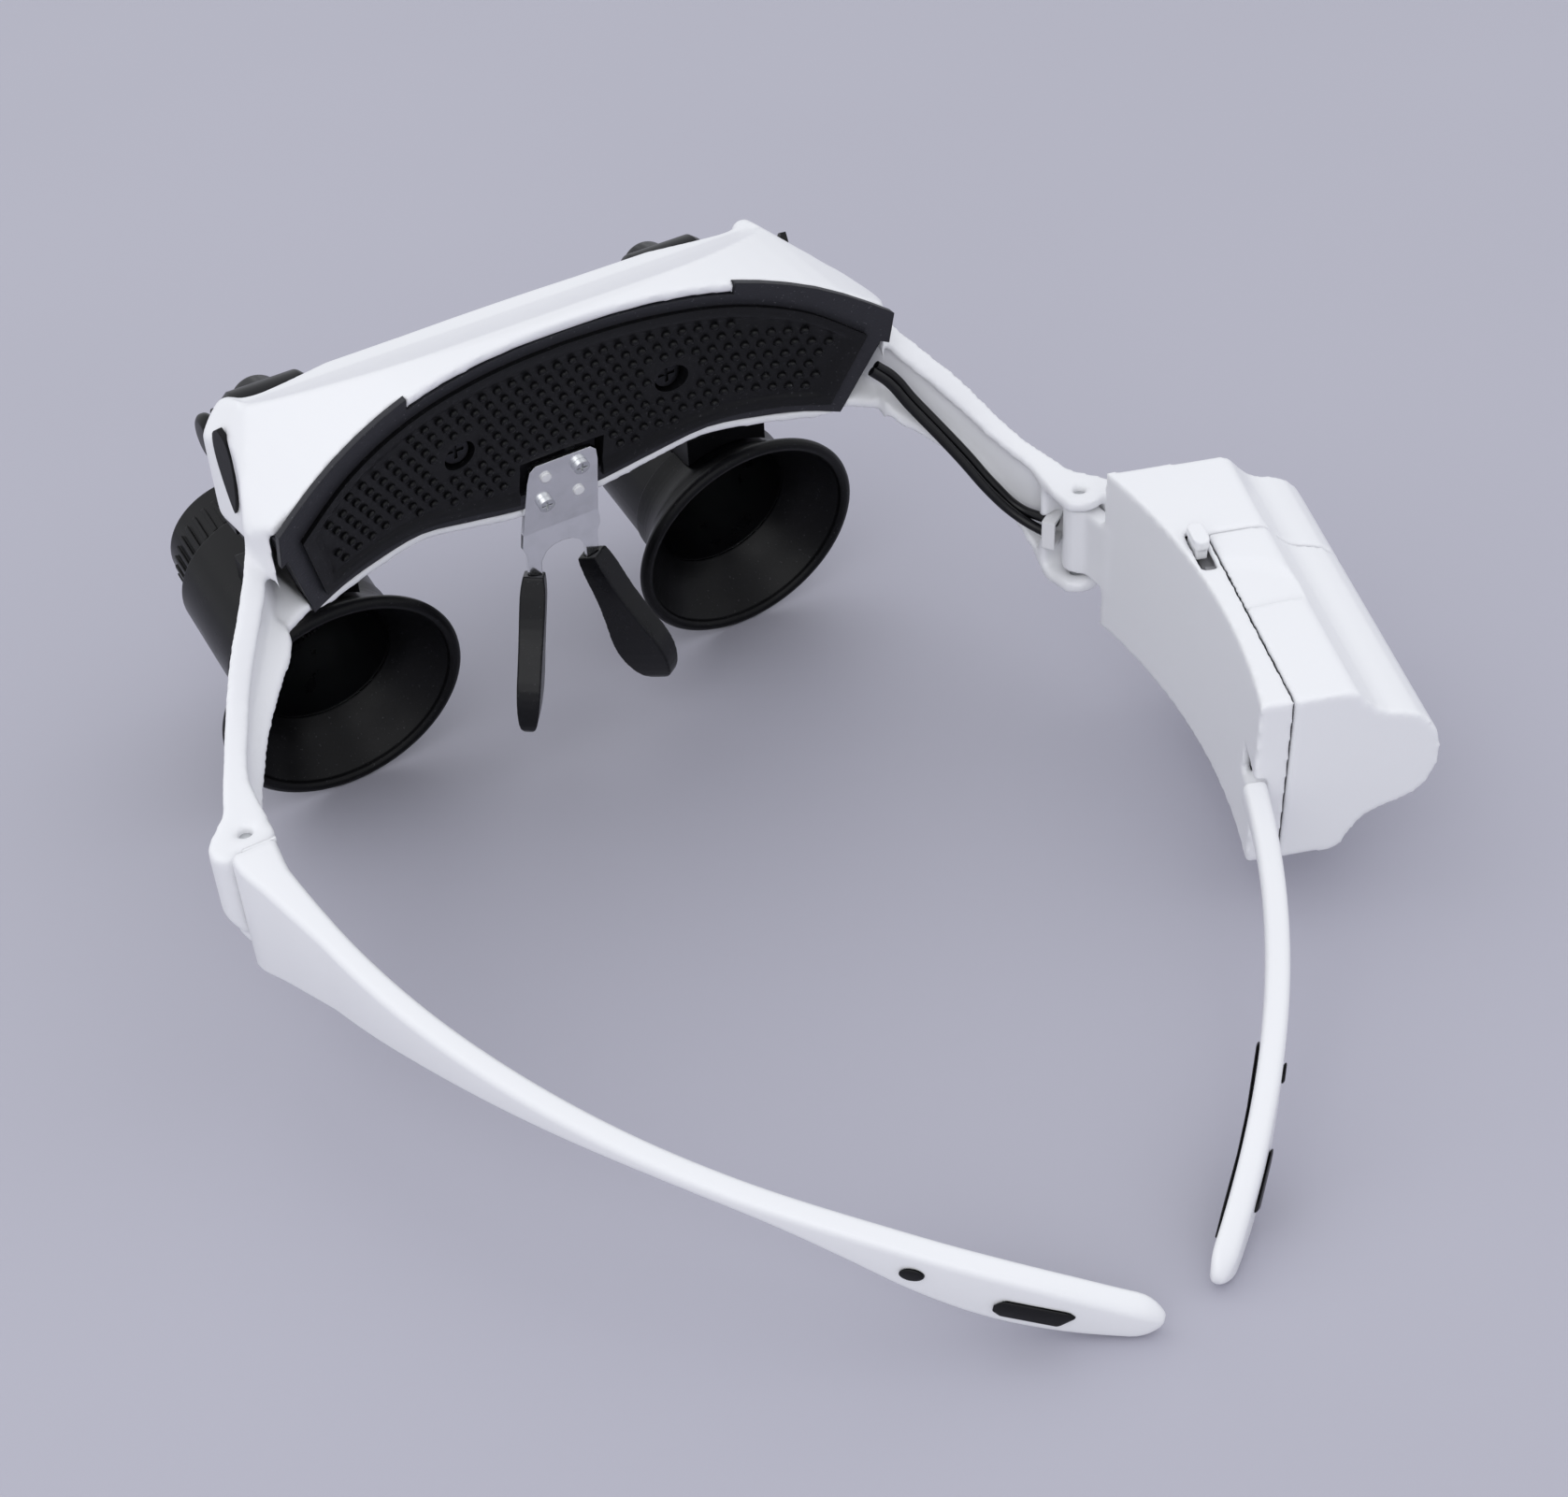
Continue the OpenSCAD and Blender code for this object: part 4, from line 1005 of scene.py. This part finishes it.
@dataclass(frozen=True)
class Bow:
    """One temple, swept along its bow with a rounded section.

    Sizes are in millimetres of the worn frame, for the left side. The outer and inner curves are
    arcs seen from above, as (centre x, centre y, radius), and the profiles go by the distance from
    the hinge line. The end's rounding is pairs of an angle and how much smaller the section is. The
    right bow is turned in round a place by an angle, and ends at the box's back face, given as a
    place and a heading.
    """

    stance: Stance
    side: str
    outer: tuple[float, float, float] = (-83.98, -5.21, 157.2)
    inner: tuple[float, float, float] = (-85.18, -5.21, 154.8)
    root: float = 4.5
    behind_box: float = 60.0
    knuckle_end: float = 5.0
    tip_angle: float = 53.57
    tip_radius: float = 3.85
    tip_width: float = 0.2
    tip_least: float = 0.01
    tip_steps: tuple[float, ...] = (0.9, 1.7, 2.4, 3.0, 3.4, 3.65, 3.8)
    end_rounding: Profile = ((0.0, 0.55), (0.0016, 0.16), (0.0036, 0.0))
    corner: float = 1.05
    corner_points: int = 6
    corner_share: float = 0.47
    step: float = 1.6
    set_in: tuple[float, float, float] = (58.0, 57.5, math.radians(1.0))
    box_end: tuple[float, float, float] = (-49.9, 62.0, math.radians(20.7))
    top: Profile = (
        (4.4, 9.4), (10, 9), (18, 7.6), (26, 6), (40, 4), (55, 2.4), (70, 0.9), (84, -0.4), (97, -1.8),
        (107, -4), (114, -6.2), (119, -8.4), (122, -9.9), (126, -11.4),
    )
    foot: Profile = (
        (4.4, -12.4), (10, -10.3), (20, -8), (30, -6.3), (45, -4), (60, -2.7), (73, -2.3), (82, -2.8),
        (90, -4.2), (97, -6.9), (104, -10.8), (110, -13.4), (116, -14.6), (121.5, -14.8), (124, -14.8),
    )
    root_out: Profile = ((4.5, 2.0), (8, 2.2), (12.6, 1.4), (18.6, 0.6), (24, 0.0))
    root_in: Profile = ((4.5, 1.2), (8, 0.5), (10.5, 0.0))
    smooth: float = 50.0

    def section(self, angle: float, past: float, less: float) -> list[Vector]:
        """Draws the rounded section at one place of the bow.

        Args:
            angle: place along the bow, in radians.
            past: how far the place lies beyond the middle of the rounded tip, in millimetres.
            less: how much smaller the section is all round, in millimetres.

        Returns:
            The section's points in the worn frame, in millimetres.
        """
        y = self.outer[1] + self.outer[2] * math.sin(angle)
        grown = ((self.inner, -between(self.root_in, y)), (self.outer, between(self.root_out, y)))
        ends = []
        for (cx, cy, r), grow in grown:
            ends.append(Vector((cx + (r + grow) * math.cos(angle), cy + (r + grow) * math.sin(angle))))
        width = (ends[1] - ends[0]).length
        share_left = math.sqrt(max(1.0 - (past / self.tip_radius) ** 2, self.tip_least))
        narrow = self.tip_width + (1.0 - self.tip_width) * share_left
        low, high = [], []
        for p in ends:
            foot, top = between(self.foot, p.y), between(self.top, p.y)
            low.append((foot + top - (top - foot) * share_left) / 2.0)
            high.append((foot + top + (top - foot) * share_left) / 2.0)
        height = (high[0] + high[1] - low[0] - low[1]) / 2.0
        most = self.corner_share
        round_by = min(self.corner, most * width * narrow, most * height)
        points = []
        for quarter, (sa, sb) in enumerate(((1, 1), (-1, 1), (-1, -1), (1, -1))):
            for k in range(self.corner_points):
                turn = math.radians(90 * quarter + 90 * k / (self.corner_points - 1))
                a = sa * (width * narrow / 2 - less - round_by) + round_by * math.cos(turn)
                b = sb * (height / 2 - less - round_by) + round_by * math.sin(turn)
                share, rise = a / width + 0.5, b / height + 0.5
                p = ends[0].lerp(ends[1], share)
                z_low = low[0] + (low[1] - low[0]) * share
                z_high = high[0] + (high[1] - high[0]) * share
                points.append(Vector((p.x, p.y, z_low + (z_high - z_low) * rise)))
        return points

    def placed(self, p: Vector) -> Vector:
        """Moves a point of the left bow to this side's place in the row frame."""
        if self.side == "left":
            return self.stance.stand(p.x, p.y, p.z)
        x, y, turn = self.set_in
        dx, dy = p.x - x, p.y - y
        c, s = math.cos(turn), math.sin(turn)
        return self.stance.stand(-(x + dx * c - dy * s), y + dx * s + dy * c, p.z)

    def build(self) -> bpy.types.Object:
        """Builds the temple, which stands for its CAD node.

        Returns:
            The temple.
        """
        start = self.root if self.side == "left" else self.behind_box
        first = math.asin((start - self.outer[1]) / self.outer[2])
        last = math.radians(self.tip_angle)
        count = int((last - first) * self.outer[2] / self.step)
        places = [(first + angle, 0.0, less) for angle, less in self.end_rounding]
        places += [(first + (last - first) * k / count, 0.0, 0.0) for k in range(1, count + 1)]
        places += [(last + past / self.outer[2], past, 0.0) for past in self.tip_steps]
        bm = bmesh.new()
        sweep(bm, [[self.placed(p) for p in self.section(*place)] for place in places])
        if self.side == "left":
            self.add_knuckle(bm)
        else:
            self.trim_at_box(bm)
        bmesh.ops.recalc_face_normals(bm, faces=bm.faces)
        piece = new_piece(f"temple_{self.side}_moulded", bm, f"{self.side}_temple", self.smooth)
        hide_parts(f"temple_{self.side}")
        return piece

    def add_knuckle(self, bm: bmesh.types.BMesh) -> None:
        """Adds the hinge knuckle, as the CAD node has it."""
        knuckle = copied("temple_left")
        back = self.stance.stand(0, 1, 0) - self.stance.stand(0, 0, 0)
        cut_off(knuckle, self.stance.stand(0, self.knuckle_end, 0), back)
        add_part(bm, knuckle)

    def trim_at_box(self, bm: bmesh.types.BMesh) -> None:
        """Cuts the bow off at the back face of the battery box."""
        x, y, heading = self.box_end
        start = self.stance.stand(x, y, 0)
        back = self.stance.stand(x + math.sin(heading), y + math.cos(heading), 0) - start
        cut_off(bm, start, -back)


@dataclass(frozen=True)
class Brow:
    """The white brow frame with what is fixed to it."""

    shop: Workshop
    stance: Stance

    def dress(self) -> None:
        """Builds the pad and wires and dresses the brow's nodes."""
        self.shop.dress(ForeheadPad(self.stance).build(), PAD_RUBBER)
        self.shop.dress(TwinLead(self.stance).build(), WIRE_SLEEVE)
        frame_skin = Skin("front_frame", "brow", "white_shell", 0.5, 7)
        self.shop.dress(frame_skin.build(Arms(self.stance).form()), WHITE_SKIN)
        self.shop.dress(Rounded("front_fascia", "brow", "black_plastic", 0.5).build(), BLACK_PLASTIC)
        for side in ("left", "right"):
            self.shop.dress(Skin(f"nose_pad_{side}", "brow", "silicone", 0.16, 8).build(), SILICONE)
        self.shop.dress_nodes(
            {
                "front_frame": WHITE_SHELL,
                "pad_carrier": CHARCOAL,
                "forehead_pad": PAD_RUBBER,
                "pad_screws": DARK_SCREW,
                "nose_plate": NOSE_STEEL,
                "nose_screws": BRIGHT_SCREW,
                "nose_studs": WHITE_STUD,
                "nose_pad_left": SILICONE,
                "nose_pad_right": SILICONE,
                "corner_inserts": BLACK_TRIM,
                "front_fascia": BLACK_PLASTIC,
                "slide_rail": BLACK_PLASTIC,
                "hinge_pins": PIN_STEEL,
                "lead": WIRE_SLEEVE,
                "lead_clip": WHITE_STUD,
            }
        )


@dataclass(frozen=True)
class Loupe:
    """One loupe with its carriage, eye cup, lens barrel and lenses."""

    shop: Workshop
    side: str

    def dress(self) -> None:
        """Dresses the loupe's nodes."""
        self.shop.dress_nodes(
            {
                f"carriage_{self.side}": BLACK_PLASTIC,
                f"loupe_screws_{self.side}": BRIGHT_SCREW,
                f"loupe_tube_{self.side}": BLACK_TUBE,
                f"eye_cup_{self.side}": CUP_RUBBER,
                f"eye_lens_{self.side}": LENS_GLASS,
                f"lens_barrel_{self.side}": BLACK_TUBE,
                f"front_lens_{self.side}": LENS_GLASS,
            }
        )


@dataclass(frozen=True)
class Lamp:
    """One tilting lamp."""

    shop: Workshop
    side: str

    def dress(self) -> None:
        """Dresses the lamp's nodes."""
        housing = Rounded(f"lamp_{self.side}", f"{self.side}_lamp", "black_plastic", 0.35)
        self.shop.dress(housing.build(), BLACK_PLASTIC)
        self.shop.dress_nodes(
            {f"lamp_{self.side}": BLACK_PLASTIC, f"lamp_lens_{self.side}": LAMP_GLASS}
        )


@dataclass(frozen=True)
class Temples:
    """Both temples with their grips."""

    shop: Workshop
    stance: Stance

    def dress(self) -> None:
        """Dresses the temples' nodes."""
        for side in ("left", "right"):
            self.shop.dress(Bow(self.stance, side).build(), WHITE_SHELL)
            grips = Rounded(f"grips_{side}", f"{side}_temple", "black_trim", 0.3)
            self.shop.dress(grips.build(), BLACK_TRIM)
            self.shop.dress_nodes({f"temple_{side}": WHITE_SHELL, f"grips_{side}": BLACK_TRIM})


@dataclass(frozen=True)
class BatteryPack:
    """The battery box on the right temple with its cover, cells and switch."""

    shop: Workshop

    def dress(self) -> None:
        """Builds the rounded box and cover and dresses the box's nodes."""
        for node, body, cell, rounds in (
            ("battery_box", "right_temple", 0.45, 6),
            ("battery_cover", "cover", 0.45, 6),
            ("switch_knob", "switch", 0.2, 3),
        ):
            self.shop.dress(Skin(node, body, "white_box", cell, rounds).build(), WHITE_BOX)
        self.shop.dress_nodes(
            {
                "battery_box": WHITE_BOX,
                "battery_cover": WHITE_BOX,
                "cells": CELL_JACKET,
                "cell_contacts": CONTACT_METAL,
                "switch_knob": WHITE_BOX,
                "switch_body": DARK_SWITCH,
            }
        )


@dataclass(frozen=True)
class Studio:
    """The pale table, the soft lights and the camera."""

    floor_colour: Colour = (0.448, 0.442, 0.512)
    floor_cloud: float = 0.03
    floor_roughness: float = 0.55
    floor_size: float = 6.0
    room_colour: Colour = (0.93, 0.95, 1.0)
    room_strength: float = 0.86
    aim: Point = (0.0, 0.03, 0.03)
    softboxes: tuple[tuple[str, Point, float, float], ...] = (
        ("key", (0.55, -0.75, 1.15), 1.5, 2.6),
        ("fill", (-0.75, 0.5, 0.95), 1.2, 1.2),
        ("front", (0.6, 0.8, 0.7), 1.0, 3.2),
    )
    lens_mm: float = 59.767
    sensor_mm: float = 36.0
    clip: tuple[float, float] = (0.01, 20.0)
    camera_place: Point = (0.134842, 0.300045, 0.242872)
    camera_right: Point = (-0.853679, 0.508428, -0.112842)
    camera_down: Point = (0.370182, 0.439971, -0.818163)

    def floor(self) -> None:
        """Lays the table under the object."""
        bm = bmesh.new()
        bmesh.ops.create_grid(bm, x_segments=1, y_segments=1, size=self.floor_size / 2)
        mesh = bpy.data.meshes.new("table")
        bm.to_mesh(mesh)
        bm.free()
        table = bpy.data.objects.new("table", mesh)
        bpy.context.scene.collection.objects.link(table)
        g = Graph("table_sheet")
        cloud = g.ranged(g.noise(TABLE_CLOUDS, 2.0), 0.0, 1.0)
        colour = g.mixed(cloud, self.floor_colour, darker(self.floor_colour, self.floor_cloud))
        g.link(colour, g.shader.inputs["Base Color"])
        g.fix(Roughness=self.floor_roughness)
        mesh.materials.append(g.material)

    def lights(self) -> None:
        """Hangs the soft lights and sets the room's light."""
        world = bpy.data.worlds.new("room")
        bpy.context.scene.world = world
        world.use_nodes = True
        background = world.node_tree.nodes["Background"]
        background.inputs["Color"].default_value = (*self.room_colour, 1.0)
        background.inputs["Strength"].default_value = self.room_strength
        for name, place, size, watts in self.softboxes:
            self.softbox(name, place, size, watts)

    def softbox(self, name: str, place: Point, size: float, watts: float) -> None:
        """Hangs one square light that looks at the object.

        Args:
            name: name of the light.
            place: where it hangs, in metres.
            size: length of its side, in metres.
            watts: its power.
        """
        data = bpy.data.lights.new(name, "AREA")
        data.shape = "SQUARE"
        data.size = size
        data.energy = watts
        lamp = bpy.data.objects.new(name, data)
        bpy.context.scene.collection.objects.link(lamp)
        lamp.location = place
        direction = Vector(self.aim) - Vector(place)
        lamp.rotation_euler = direction.to_track_quat("-Z", "Y").to_euler()

    def camera(self) -> None:
        """Sets the camera where the photograph was taken from."""
        data = bpy.data.cameras.new("camera")
        data.sensor_fit = "HORIZONTAL"
        data.sensor_width = self.sensor_mm
        data.lens = self.lens_mm
        data.clip_start, data.clip_end = self.clip
        camera = bpy.data.objects.new("camera", data)
        bpy.context.scene.collection.objects.link(camera)
        right = Vector(self.camera_right).normalized()
        up = -Vector(self.camera_down).normalized()
        back = right.cross(up).normalized()
        turn = Matrix((right, up, back)).transposed().to_4x4()
        camera.matrix_world = Matrix.Translation(Vector(self.camera_place)) @ turn
        bpy.context.scene.camera = camera


def main() -> None:
    """Builds the object in order."""
    bpy.context.scene.view_settings.view_transform = "Standard"
    shop, stance, studio = Workshop(), Stance(), Studio()
    studio.camera()
    Brow(shop, stance).dress()
    for side in ("left", "right"):
        Loupe(shop, side).dress()
        Lamp(shop, side).dress()
    Temples(shop, stance).dress()
    BatteryPack(shop).dress()
    studio.floor()
    studio.lights()


if __name__ == "__main__":
    main()
